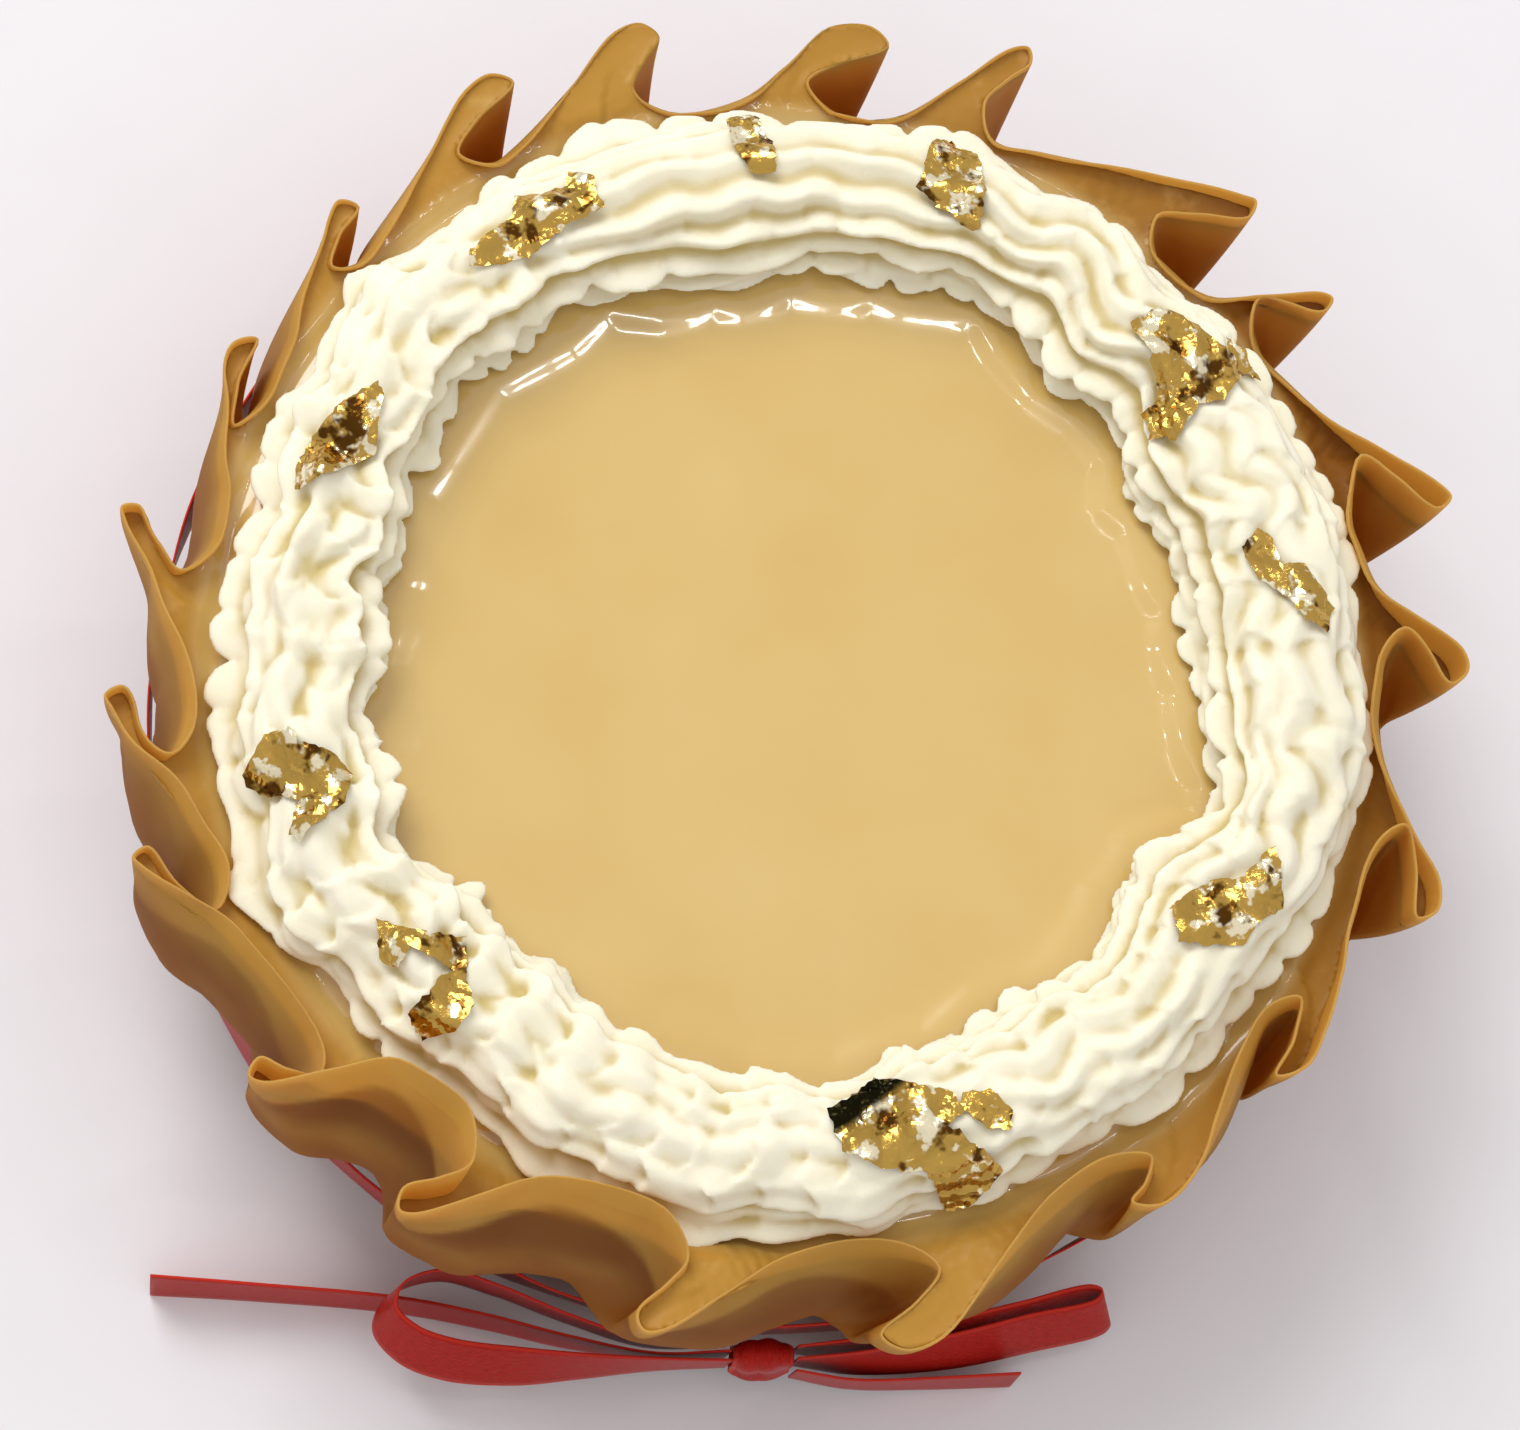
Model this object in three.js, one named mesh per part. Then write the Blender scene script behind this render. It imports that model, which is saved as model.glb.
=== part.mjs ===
// Basque cheesecake in its baking paper: a tall round cheesecake with a poured caramel top, a piped
// ring of whipped cream with scraps of gold leaf on it, and the brown paper it was baked in, which
// stands round the side in about twenty blown-over folds and is tied with a red satin ribbon.
// Millimetres, +Z up. The origin is the middle of the underside; the bow is at the front, -Y.
// Angles are compass degrees seen from above: 0 is the back (+Y), 90 the right (+X), 180 the front.

import * as THREE from 'three';

// ---------------------------------------------------------------- driving dimensions
const cakeRadius = 85.2;          // an 18 cm tin, less the folded paper and some shrinkage
const cakeTop = 52;               // where the crumb ends and the caramel starts
const cornerRound = 5;            // rounding of the cake's upper and lower corners
const clearance = 0.3;            // air left between pieces that touch

const paperThickness = 1.0;       // baked, buttered and double in places
const paperWaistTrough = 87.0;    // where the ribbon pulls it against the cake
const paperWaistCrest = 92.6;     // the folds gathered under the ribbon
const paperWaistHeight = 21;      // just above the ribbon, where the folds start to open

const caramelThickness = 2.7;

const creamMiddle = 72.3;         // radius of the middle of the piped ring
const creamHalfWidth = 9.9;
const creamHeight = 13.2;
const creamRidges = 4;            // lengthwise ridges left by the nozzle
const creamRidgeDepth = 0.9;
const creamPetals = 36;           // pulses of the hand round the ring
const creamPetalDepth = 1.2;

const ribbonWidth = 10;
const ribbonMiddle = 15;          // height of the middle of the band
const ribbonThickness = 0.8;
const leafThickness = 0.5;
const paperBrown = '#a8763a';
const cakeYellow = '#e6c07a';
const caramelTan = '#dcb874';
const creamWhite = '#f0ecd0';
const leafGold = '#c9a13c';
const ribbonRed = '#8e1f1a';

// The folds of the paper, going clockwise: the angle where the rim leaves the cake, its tip and how
// far out that is, the half-width of its rounded end, how far back its lee side curls in, and where
// that side comes home, with the radius and the height of the rim there; and last how far out the
// windward side bulges above the ribbon.
const folds = [
  [-5, 6.0, 101.3, 2.6, 1.4, 4.5, 85.6, 57, 95],
  [10.5, 20.2, 105.2, 0.8, 18.4, 20.6, 88.0, 58, 95],
  [25, 43.4, 103.8, 0.8, 38.0, 40.5, 85.0, 57.5, 96],
  [47, 54.0, 103.0, 0.7, 50.4, 54.5, 87.5, 57, 96],
  [60, 74.0, 103.9, 0.9, 68.4, 74.5, 87.2, 60, 96],
  [80.5, 88.8, 101.8, 1.5, 85.4, 89.0, 87.6, 60, 96],
  [98.5, 109.8, 102.0, 1.9, 103.9, 106.5, 90.4, 60, 96],
  [115, 127.5, 95.6, 3.2, 123.6, 126.2, 86.0, 61, 94],
  [131, 145.5, 96.0, 3.0, 144.6, 148.2, 86.2, 61, 96],
  [155, 170.3, 102.3, 2.4, 167.0, 170.5, 87.0, 60, 98],
  [180, 191.8, 101.8, 1.2, 189.9, 193.0, 84.8, 65, 99],
  [204, 213.6, 101.0, 1.0, 211.0, 214.5, 84.0, 69, 100],
  [222, 229.5, 101.2, 0.9, 226.4, 228.5, 89.8, 60, 100],
  [241, 250.4, 100.5, 0.7, 243.9, 246.5, 88.6, 60, 100.5],
  [252, 264.0, 100.2, 0.9, 258.5, 260.8, 87.8, 61, 98],
  [268, 280.4, 99.8, 0.7, 275.9, 279.0, 85.4, 59, 94.5],
  [285, 297.8, 94.2, 1.8, 291.2, 294.2, 85.8, 58, 93],
  [300, 314.6, 96.2, 1.2, 309.9, 312.0, 86.6, 58, 94],
  [316, 332.2, 100.5, 2.0, 326.3, 329.0, 87.0, 58, 95],
  [332.5, 346.2, 101.6, 1.9, 344.7, 347.5, 86.2, 57, 95],
].map(([rise, tip, reach, round, back, foot, home, rim, belly]) => (
  { rise, tip, reach, round, back, foot, home, rim, belly }));

// ---------------------------------------------------------------- small helpers
const radians = THREE.MathUtils.degToRad;
const mix = THREE.MathUtils.lerp;
const polar = (angle, radius, height) =>
  new THREE.Vector3(radius * Math.sin(radians(angle)), radius * Math.cos(radians(angle)), height);

// Turns points and faces into a geometry whose faces point outward.
function solidFrom(points, faces) {
  let sixVolumes = 0;
  for (const [a, b, c] of faces) {
    sixVolumes += points[a].dot(points[b].clone().cross(points[c]));
  }
  const facing = sixVolumes > 0 ? faces : faces.map(([a, b, c]) => [a, c, b]);
  const geometry = new THREE.BufferGeometry().setFromPoints(points);
  geometry.setIndex(facing.flat());
  geometry.computeVertexNormals();
  return geometry;
}

// Joins rings of equally many points. Either the last ring meets the first, or both ends are
// closed by a middle point.
function loftRings(rings, firstMiddle, lastMiddle) {
  const count = rings[0].length;
  const points = rings.flat();
  const faces = [];
  const bands = firstMiddle ? rings.length - 1 : rings.length;
  for (let band = 0; band < bands; band += 1) {
    const lower = band * count;
    const upper = ((band + 1) % rings.length) * count;
    for (let i = 0; i < count; i += 1) {
      const next = (i + 1) % count;
      faces.push([lower + i, lower + next, upper + next], [lower + i, upper + next, upper + i]);
    }
  }
  if (firstMiddle) {
    const first = points.push(firstMiddle) - 1;
    const last = points.push(lastMiddle) - 1;
    const lastRing = (rings.length - 1) * count;
    for (let i = 0; i < count; i += 1) {
      const next = (i + 1) % count;
      faces.push([first, next, i], [last, lastRing + i, lastRing + next]);
    }
  }
  return solidFrom(points, faces);
}

// A thin sheet, across x along steps, with both faces split alike. pointAt(across, along, side)
// gives a point for across and along from 0 to 1 and side +1 or -1.
function thinSheet(pointAt, acrossSteps, alongSteps) {
  const points = [];
  const faces = [];
  const row = acrossSteps + 1;
  const face = row * (alongSteps + 1);
  for (const side of [1, -1]) {
    for (let j = 0; j <= alongSteps; j += 1) {
      for (let i = 0; i <= acrossSteps; i += 1) {
        points.push(pointAt(i / acrossSteps, j / alongSteps, side));
      }
    }
  }
  const at = (i, j, under) => under * face + j * row + i;
  for (let j = 0; j < alongSteps; j += 1) {
    for (let i = 0; i < acrossSteps; i += 1) {
      faces.push([at(i, j, 0), at(i + 1, j, 0), at(i + 1, j + 1, 0)]);
      faces.push([at(i, j, 0), at(i + 1, j + 1, 0), at(i, j + 1, 0)]);
      faces.push([at(i, j, 1), at(i + 1, j + 1, 1), at(i + 1, j, 1)]);
      faces.push([at(i, j, 1), at(i, j + 1, 1), at(i + 1, j + 1, 1)]);
    }
  }
  const rim = [];
  for (let i = 0; i < acrossSteps; i += 1) rim.push([i, 0]);
  for (let j = 0; j < alongSteps; j += 1) rim.push([acrossSteps, j]);
  for (let i = acrossSteps; i > 0; i -= 1) rim.push([i, alongSteps]);
  for (let j = alongSteps; j > 0; j -= 1) rim.push([0, j]);
  rim.forEach(([i, j], k) => {
    const [p, q] = rim[(k + 1) % rim.length];
    faces.push([at(i, j, 0), at(i, j, 1), at(p, q, 1)], [at(i, j, 0), at(p, q, 1), at(p, q, 0)]);
  });
  return solidFrom(points, faces);
}

const group = new THREE.Group();
function addPiece(name, geometry, color, roughness, metalness = 0) {
  const material = new THREE.MeshStandardMaterial({ color, roughness, metalness });
  const mesh = new THREE.Mesh(geometry, material);
  mesh.name = name;
  group.add(mesh);
}

// ---------------------------------------------------------------- baking paper
// Each fold gives eight points of the rim and the eight points of the waist below them. The rim
// leaves the cake, runs out to the rounded tip, and curls back in under it to where it comes home.
// The waist is a wave with a broad crest below the windward side and the tip, and a narrow trough
// before the next fold.
const rimPoints = [];
const waistPoints = [];
const waistRange = paperWaistCrest - paperWaistTrough;
const crownDrop = 1;              // a fold's tip hangs this much below the rim beside it
const opening = 2;                // above 1, a fold opens sooner than a straight wall would
const leastBulge = 0.55;          // the share of the belly that a trough between folds gets
const bulgeBreadth = 0.6;         // under 1, a bulge reaches nearly as far out over more of the wall
folds.forEach((fold, i) => {
  const before = folds.at(i - 1);
  const after = folds[(i + 1) % folds.length];
  const out = fold.reach - before.home;
  const gap = (after.rise + (i + 1 === folds.length ? 360 : 0)) - fold.tip;
  const crown = Math.max(fold.rim, before.rim) - crownDrop;
  const leaves = fold.tip - fold.round - fold.rise;
  const rim = [
    [fold.rise, before.home + 0.06 * out, before.rim],
    [fold.rise + 0.55 * leaves, before.home + 0.48 * out, mix(before.rim, crown, 0.5)],
    [fold.tip - fold.round, fold.reach - 0.8, crown],
    [fold.tip + 0.3 * fold.round, fold.reach, crown],
    [fold.tip + fold.round, fold.reach - 2.6, crown],
    [mix(fold.back, fold.tip + fold.round, 0.45), mix(fold.home, fold.reach, 0.6), crown],
    [fold.back, mix(fold.home, fold.reach, 0.33), mix(fold.rim, crown, 0.5)],
    [fold.foot, fold.home, fold.rim],
  ];
  const waist = [
    [fold.rise, 0.25],
    [fold.rise + 0.45 * leaves, 0.85],
    [fold.tip - 1.5, 1],
    [fold.tip, 1],
    [fold.tip + 0.16 * gap, 0.8],
    [fold.tip + 0.34 * gap, 0.45],
    [fold.tip + 0.52 * gap, 0.15],
    [fold.tip + 0.76 * gap, 0],
  ];
  rim.forEach(([angle, radius, height]) => rimPoints.push(polar(angle, radius, height)));
  waist.forEach(([angle, part]) =>
    waistPoints.push(polar(angle, paperWaistTrough + part * waistRange, paperWaistHeight)));
});
const rimCurve = new THREE.CatmullRomCurve3(rimPoints, true, 'centripetal');
const waistCurve = new THREE.CatmullRomCurve3(waistPoints, true, 'centripetal');

// How far out the bellies are: only x counts, and the curve has as many points as the rim.
const bellyCurve = new THREE.CatmullRomCurve3(
  folds.flatMap((fold, i) => Array.from({ length: 8 }, (_, k) =>
    new THREE.Vector3(fold.belly, 8 * i + k, 0))), true, 'catmullrom');

// A point of the paper's middle surface: u runs round, and the height is cut off at the rim. A
// fold opens quickly above the ribbon, and its windward side bulges out to the belly's radius, most
// of all a quarter of the way up. Below the rim the paper stays outside the cake.
const paperInside = cakeRadius + clearance + 0.6 * paperThickness;
function paperPoint(u, height) {
  const rim = rimCurve.getPoint(u);
  const waist = waistCurve.getPoint(u);
  const part = Math.min((height - paperWaistHeight) / (rim.z - paperWaistHeight), 1);
  const fullness = (Math.hypot(waist.x, waist.y) - paperWaistTrough) / waistRange;
  const point = waist.clone().lerp(rim, 1 - (1 - part) ** opening);
  const radius = Math.hypot(point.x, point.y);
  const swell = Math.max(Math.sin(Math.PI * Math.sqrt(part)), 0) ** bulgeBreadth;
  const bulging = mix(leastBulge, 1, fullness) * swell;
  const bulged = mix(radius, Math.max(radius, bellyCurve.getPoint(u).x), bulging);
  const kept = (height < rim.z ? Math.max(bulged, paperInside) : bulged) / radius;
  return point.set(point.x * kept, point.y * kept, mix(paperWaistHeight, rim.z, part));
}

const paperColumns = 200;
const columnStep = 1 / paperColumns;
function paperRing(placeAt, side) {
  const ring = [];
  for (let i = 0; i < paperColumns; i += 1) {
    const here = placeAt(i * columnStep);
    const ahead = placeAt(((i + 0.5) * columnStep) % 1);
    const behind = placeAt(((i - 0.5) * columnStep + 1) % 1);
    const along = ahead.sub(behind);
    const outward = new THREE.Vector3(-along.y, along.x, 0).normalize();
    ring.push(here.addScaledVector(outward, side * paperThickness / 2));
  }
  return ring;
}
const footDrawn = 0.985;          // the gathered folds draw in a little towards the foot
const foot = (height) => (u) => {
  const place = paperPoint(u, paperWaistHeight);
  const radius = Math.hypot(place.x, place.y);
  const drawn = Math.max(radius * footDrawn, paperInside) / radius;
  return new THREE.Vector3(place.x * drawn, place.y * drawn, height);
};
// The wall's rows: the waist, two between, one just above the caramel, and the rim.
const paperFloor = paperThickness;
const aboveCaramel = cakeTop + caramelThickness + 2 * clearance;
const wallHeights = [paperWaistHeight, 27, 40, aboveCaramel, Infinity];
const wallRing = (side) => (height) => paperRing((u) => paperPoint(u, height), side);
const paperRings = [
  paperRing(foot(0), 1),
  ...wallHeights.map(wallRing(1)),
  ...wallHeights.toReversed().map(wallRing(-1)),
  paperRing(foot(paperFloor), -1),
];
addPiece('baking_paper',
  loftRings(paperRings, new THREE.Vector3(0, 0, 0), new THREE.Vector3(0, 0, paperFloor)),
  paperBrown, 0.45);

// ---------------------------------------------------------------- cheesecake and caramel
const aroundCake = 60;
function turned(profile) {
  const rings = profile.map(([radius, height]) =>
    Array.from({ length: aroundCake }, (_, i) => polar(i * 360 / aroundCake, radius, height)));
  const middle = (height) => new THREE.Vector3(0, 0, height);
  return loftRings(rings, middle(profile[0][1]), middle(profile.at(-1)[1]));
}
const cakeFoot = paperFloor + clearance;
const corner = (height, up) => [15, 45, 75].map((tilt) => [
  cakeRadius - cornerRound * (1 - Math.cos(radians(tilt))),
  height + up * cornerRound * Math.sin(radians(tilt)),
]);
addPiece('cheesecake', turned([
  [cakeRadius - cornerRound, cakeFoot],
  ...corner(cakeFoot + cornerRound, -1).toReversed(),
  ...corner(cakeTop - cornerRound, 1),
  [cakeRadius - cornerRound, cakeTop],
]), cakeYellow, 0.7);

const caramelFoot = cakeTop + clearance;
const caramelTop = caramelFoot + caramelThickness;
const caramelRadius = cakeRadius - 0.2;
addPiece('caramel_top', turned([
  [caramelRadius - 2, caramelFoot],
  [caramelRadius, caramelFoot + 0.9],
  [caramelRadius - 0.2, caramelTop - 0.7],
  [caramelRadius - 1.4, caramelTop],
]), caramelTan, 0.15);

// ---------------------------------------------------------------- cream
// A point of the piped ring's skin. across runs from the inner foot, 0, over the top to the outer
// foot, 1. The ridges snake as the hand moves, and every pulse of the hand makes a petal that is
// deepest at the ring's sides. The ring is squeezed where the paper leans over it. relief 0 gives
// the plain ring under the ridges and petals.
const creamFoot = caramelTop + clearance;
const creamShoulder = 1.3;        // the sides stand on the caramel this much before they curve in
const creamTurn = 96;             // how far each side of the section turns from the top, degrees
const squeezes = [
  { angle: 42, depth: 1.0, spread: 12 },
  { angle: 210, depth: 1.6, spread: 18 },
];
function creamPoint(angle, across, lift, relief) {
  const a = radians(angle);
  const slope = radians(mix(-creamTurn, creamTurn, across));
  const sway = 0.5 * Math.sin(5 * a + 0.6) + 0.35 * Math.sin(11 * a + 2);
  const pulse = Math.sin(creamPetals * a + 1.1 * Math.sin(3 * a) + 2.2 * across);
  const ridge = Math.cos(2 * Math.PI * (creamRidges * across + 0.22 * sway));
  const squeezed = squeezes.reduce((sum, squeeze) =>
    sum + squeeze.depth * Math.exp(-(((angle - squeeze.angle) / squeeze.spread) ** 2)), 0);
  const petal = creamPetalDepth * mix(0.45, 1, Math.sin(slope) ** 2) * pulse;
  const swell = lift + relief * (creamRidgeDepth * ridge + petal);
  const halfWidth = creamHalfWidth + 0.3 * Math.sin(4 * a) - squeezed / 2 + swell;
  const fullHeight = creamHeight - creamShoulder + 0.6 * sway + swell;
  const radius = creamMiddle - squeezed / 2 + 0.4 * sway + halfWidth * Math.sin(slope);
  const height = creamFoot + creamShoulder + fullHeight * Math.cos(slope);
  return polar(angle, radius, Math.max(height, creamFoot));
}
const creamColumns = 144;
const creamRows = 14;
const creamRings = [];
for (let j = 0; j <= creamRows; j += 1) {
  creamRings.push(Array.from({ length: creamColumns },
    (_, i) => creamPoint(i * 360 / creamColumns, j / creamRows, 0, 1)));
}
addPiece('cream_border', loftRings(creamRings), creamWhite, 0.5);

// ---------------------------------------------------------------- gold leaf on the cream
// Angle and place across the ring of each scrap, how long and wide it is, and how far its length
// is turned from running along the ring.
const leaves = [
  { angle: 327.7, across: 0.56, long: 20, wide: 7, turn: -1 },
  { angle: 354.7, across: 0.66, long: 12, wide: 6, turn: 85 },
  { angle: 17.6, across: 0.60, long: 16, wide: 8, turn: 130 },
  { angle: 53.2, across: 0.53, long: 21, wide: 12, turn: 17 },
  { angle: 80.5, across: 0.52, long: 19, wide: 6, turn: 30 },
  { angle: 120.1, across: 0.48, long: 18, wide: 11, turn: -20 },
  { angle: 165.0, across: 0.52, long: 27, wide: 11, turn: -37 },
  { angle: 227.5, across: 0.55, long: 17, wide: 9, turn: -13 },
  { angle: 251.9, across: 0.58, long: 16, wide: 12, turn: 29 },
  { angle: 293.1, across: 0.51, long: 17, wide: 7, turn: -20 },
];
const leafCrumple = 0.4;
const ridgeTops = creamRidgeDepth + 0.6 * creamPetalDepth;
const leafLift = ridgeTops + clearance + leafCrumple;
const creamArc = radians(2 * creamTurn) * (creamHalfWidth + creamHeight) / 2;
leaves.forEach((leaf, k) => {
  const cosTurn = Math.cos(radians(leaf.turn));
  const sinTurn = Math.sin(radians(leaf.turn));
  const leafPoint = (across, along, side) => {
    const ragged = 1 + 0.16 * Math.sin(9 * along + 2.3 * k) + 0.12 * Math.sin(7 * across + k);
    const s = (along - 0.5) * leaf.long * ragged;
    const w = (across - 0.5) * leaf.wide * (1.1 - 0.5 * Math.abs(along - 0.5)) * ragged;
    const round = (s * cosTurn - w * sinTurn) / radians(creamMiddle);
    const over = (s * sinTurn + w * cosTurn) / creamArc;
    const crumple = leafCrumple * Math.sin(12 * along + k) * Math.cos(9 * across + 2 * k);
    const lift = leafLift + crumple + (1 + side) * leafThickness / 2;
    return creamPoint(leaf.angle + round, leaf.across + over, lift, 0);
  };
  addPiece(`gold_leaf_${k + 1}`, thinSheet(leafPoint, 4, 5), leafGold, 0.25, 1);
});

// ---------------------------------------------------------------- ribbon
// The band is pulled nearly straight from crest to crest of the gathered paper.
const bandSlack = 0.4;
const bandRadius = paperWaistCrest + (paperThickness + ribbonThickness) / 2 + clearance + bandSlack;
const deepestChord = 0.995;       // over a wide gap the paper behind holds the band out
const stepsPerFold = 4;
function bandRing(side, height) {
  const offset = side * ribbonThickness / 2;
  return folds.flatMap((fold, i) => {
    const next = folds[(i + 1) % folds.length];
    const half = (next.tip + (next === folds[0] ? 360 : 0) - fold.tip) / 2;
    return Array.from({ length: stepsPerFold }, (_, k) => {
      const past = 2 * half * k / stepsPerFold;
      const chord = Math.cos(radians(half)) / Math.cos(radians(past - half));
      return polar(fold.tip + past, (bandRadius + offset) * Math.max(chord, deepestChord), height);
    });
  });
}
const bandLow = ribbonMiddle - ribbonWidth / 2;
const bandHigh = ribbonMiddle + ribbonWidth / 2;
addPiece('ribbon_band', loftRings([
  bandRing(1, bandLow), bandRing(1, bandHigh), bandRing(-1, bandHigh), bandRing(-1, bandLow),
]), ribbonRed, 0.4);

// A length of ribbon standing on its edge. Each place of its middle line has x, y, z, how far the
// upper edge leans from upright, and towards which compass angle it leans.
function ribbonLength(name, places, steps) {
  const middle = new THREE.CatmullRomCurve3(places.map(([x, y, z]) => new THREE.Vector3(x, y, z)));
  const upper = new THREE.CatmullRomCurve3(places.map(([x, y, z, lean, towards]) =>
    polar(towards, Math.sin(radians(lean)), Math.cos(radians(lean))).add(new THREE.Vector3(x, y, z))));
  const pointAt = (across, along, side) => {
    const here = middle.getPoint(along);
    const upward = upper.getPoint(along).sub(here).normalize();
    const outward = new THREE.Vector3().crossVectors(middle.getTangent(along), upward).normalize();
    return here.addScaledVector(upward, (across - 0.5) * ribbonWidth)
      .addScaledVector(outward, side * ribbonThickness / 2);
  };
  addPiece(name, thinSheet(pointAt, 1, steps), ribbonRed, 0.4);
}

// The left loop swings out from the knot, round a full end and back nearer the viewer.
ribbonLength('bow_loop_left', [
  [-3.6, -95.6, 13.0, 0, 0], [-16, -95.8, 13.2, 0, 0], [-28, -92.4, 13.8, 0, 0],
  [-39, -88.4, 14.6, 2, 30], [-47.5, -86.4, 15.4, 6, 60], [-54.2, -88.9, 15.8, 14, 60],
  [-55.6, -93.0, 15.8, 24, 50], [-52.3, -96.6, 15.2, 30, 30], [-46, -98.8, 14.2, 32, 15],
  [-36, -99.6, 13.4, 28, 5], [-26, -99.4, 13.0, 16, 0], [-15, -98.9, 12.8, 5, 0],
  [-3.6, -98.6, 12.8, 0, 0],
], 44);
// Its tail runs inside it, under its end and on to the left along the table.
ribbonLength('bow_tail_left', [
  [-3.6, -97.1, 12.0, 0, 0], [-15, -97.5, 11.0, 0, 0], [-28, -95.2, 8.6, 4, 0],
  [-40, -92.2, 6.4, 6, 0], [-53, -89.8, 5.2, 7, 0], [-75, -88.2, 5.2, 8, 0],
  [-90.6, -87.4, 5.2, 10, 0],
], 18);
// The right loop is pressed flat, and its fold makes a straight slanted end.
ribbonLength('bow_loop_right', [
  [6.4, -96.4, 13.4, 0, 0], [16, -96.2, 13.2, 14, -5], [30, -94.0, 12.6, 26, -15],
  [42, -91.2, 11.8, 30, -20], [53.4, -88.2, 11.0, 30, -34], [55.0, -88.8, 11.0, 30, -36],
  [54.2, -90.2, 11.0, 30, -34], [42.8, -93.2, 11.6, 30, -20], [30.6, -96.2, 12.4, 26, -15],
  [16.4, -98.2, 13.0, 14, -5], [6.4, -98.2, 13.0, 0, 0],
], 40);
ribbonLength('bow_tail_right', [
  [6.4, -99.8, 11.0, 0, 0], [16, -100.9, 7.8, 2, 0], [28.3, -100.4, 5.6, 4, 0],
  [41.8, -99.6, 5.3, 6, 0],
], 12);

// The knot is a short wrap, fullest in the middle, whose lower end is drawn to a point outwards.
const knot = { x: 1.4, y: -97.5, z: 12.9, halfLong: 4.4, halfDeep: 2.3, halfHigh: 4.6, droop: 2.4 };
const knotSides = 12;
const knotWaisting = 0.55;        // how much thinner the knot is at its two ends
const knotRings = [-1, -0.55, 0, 0.55, 1].map((along) => {
  const full = Math.sqrt(1 - knotWaisting * along * along);
  return Array.from({ length: knotSides }, (_, i) => {
    const turn = i * 2 * Math.PI / knotSides;
    const drop = knot.droop * full * Math.max(0, -Math.sin(turn)) ** 3;
    return new THREE.Vector3(
      knot.x + along * knot.halfLong,
      knot.y + full * knot.halfDeep * Math.cos(turn) - drop,
      knot.z + full * knot.halfHigh * Math.sin(turn) - drop / 2,
    );
  });
});
const knotEnd = (along) => new THREE.Vector3(knot.x + along * knot.halfLong, knot.y, knot.z);
addPiece('ribbon_knot', loftRings(knotRings, knotEnd(-1), knotEnd(1)), ribbonRed, 0.4);

export default group;
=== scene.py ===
# %% [markdown]
# # A Basque cheesecake in its baking paper
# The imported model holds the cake, its paper, the cream and the ribbon as plain solids at their real
# size. This script keeps that frame and dresses it: each piece gets the fine shape and the finish
# of the real thing, in the same place. We work through it as a pastry cook would look at it: the
# paper, the caramel, the piped cream, the gold leaf, and last the ribbon with its bow.

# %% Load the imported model
import math

import bmesh
import bpy
import numpy as np
from mathutils import Matrix, Vector
from mathutils.bvhtree import BVHTree
from mathutils.geometry import delaunay_2d_cdt
from mathutils.kdtree import KDTree


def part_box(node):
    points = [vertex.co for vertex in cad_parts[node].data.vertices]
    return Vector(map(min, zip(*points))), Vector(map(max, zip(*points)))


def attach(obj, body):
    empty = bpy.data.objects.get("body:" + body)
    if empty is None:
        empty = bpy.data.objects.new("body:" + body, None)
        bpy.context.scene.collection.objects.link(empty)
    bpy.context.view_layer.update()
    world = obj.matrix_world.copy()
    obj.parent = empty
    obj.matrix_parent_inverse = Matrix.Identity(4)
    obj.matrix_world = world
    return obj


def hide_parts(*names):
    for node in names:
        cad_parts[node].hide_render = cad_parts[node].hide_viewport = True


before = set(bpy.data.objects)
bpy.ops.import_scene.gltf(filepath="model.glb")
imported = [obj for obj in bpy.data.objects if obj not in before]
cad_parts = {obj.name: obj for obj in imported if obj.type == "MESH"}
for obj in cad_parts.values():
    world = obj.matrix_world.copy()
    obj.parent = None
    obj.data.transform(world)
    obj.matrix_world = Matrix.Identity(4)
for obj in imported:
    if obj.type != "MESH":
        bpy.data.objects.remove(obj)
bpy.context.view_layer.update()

MM = 0.001

# %% [markdown]
# ## Small tools
# Colours are picked in sRGB, as on a screen, but Blender's sockets want linear values, so one
# function turns them. A texture's scale counts how often its pattern fits in a metre, so a second
# one works that out from the pattern's real size in millimetres. A third adds a shader node, sets
# its values and links its sockets, and a fourth starts a material. We add no more than these, and
# so every material below reads the same.

# %% Colours and shader nodes
def linear(colour):
    """An sRGB colour such as "#dcb874" as the linear RGBA that a socket takes."""
    channels = [int(colour[i:i + 2], 16) / 255 for i in (1, 3, 5)]
    lit = [c / 12.92 if c <= 0.04045 else ((c + 0.055) / 1.055) ** 2.4 for c in channels]
    return lit + [1.0]


def per_metre(size):
    """How often a pattern of `size` mm fits in a metre."""
    return 1000 / size


def add_node(tree, kind, settings=(), inputs=()):
    """Adds a node. A value among its inputs is set, and another node's output is linked."""
    node = tree.nodes.new(kind)
    for name, value in dict(settings).items():
        setattr(node, name, value)
    for name, value in dict(inputs).items():
        if isinstance(value, bpy.types.NodeSocket):
            tree.links.new(value, node.inputs[name])
        else:
            node.inputs[name].default_value = value
    return node


def start_material(name):
    """An empty node material, its tree, and a node that gives places in metres."""
    material = bpy.data.materials.new(name)
    material.use_nodes = True
    material.node_tree.nodes.clear()
    return material, material.node_tree, add_node(material.node_tree, "ShaderNodeTexCoord")


# %% [markdown]
# Every piece here is a mesh that we work out with NumPy: a grid of points with four-sided faces
# between them. A grid can close on itself one way, as a tube does, or both ways, as a ring does.
# Shapes are worked out in millimetres, and only this one function turns them to metres.

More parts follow.
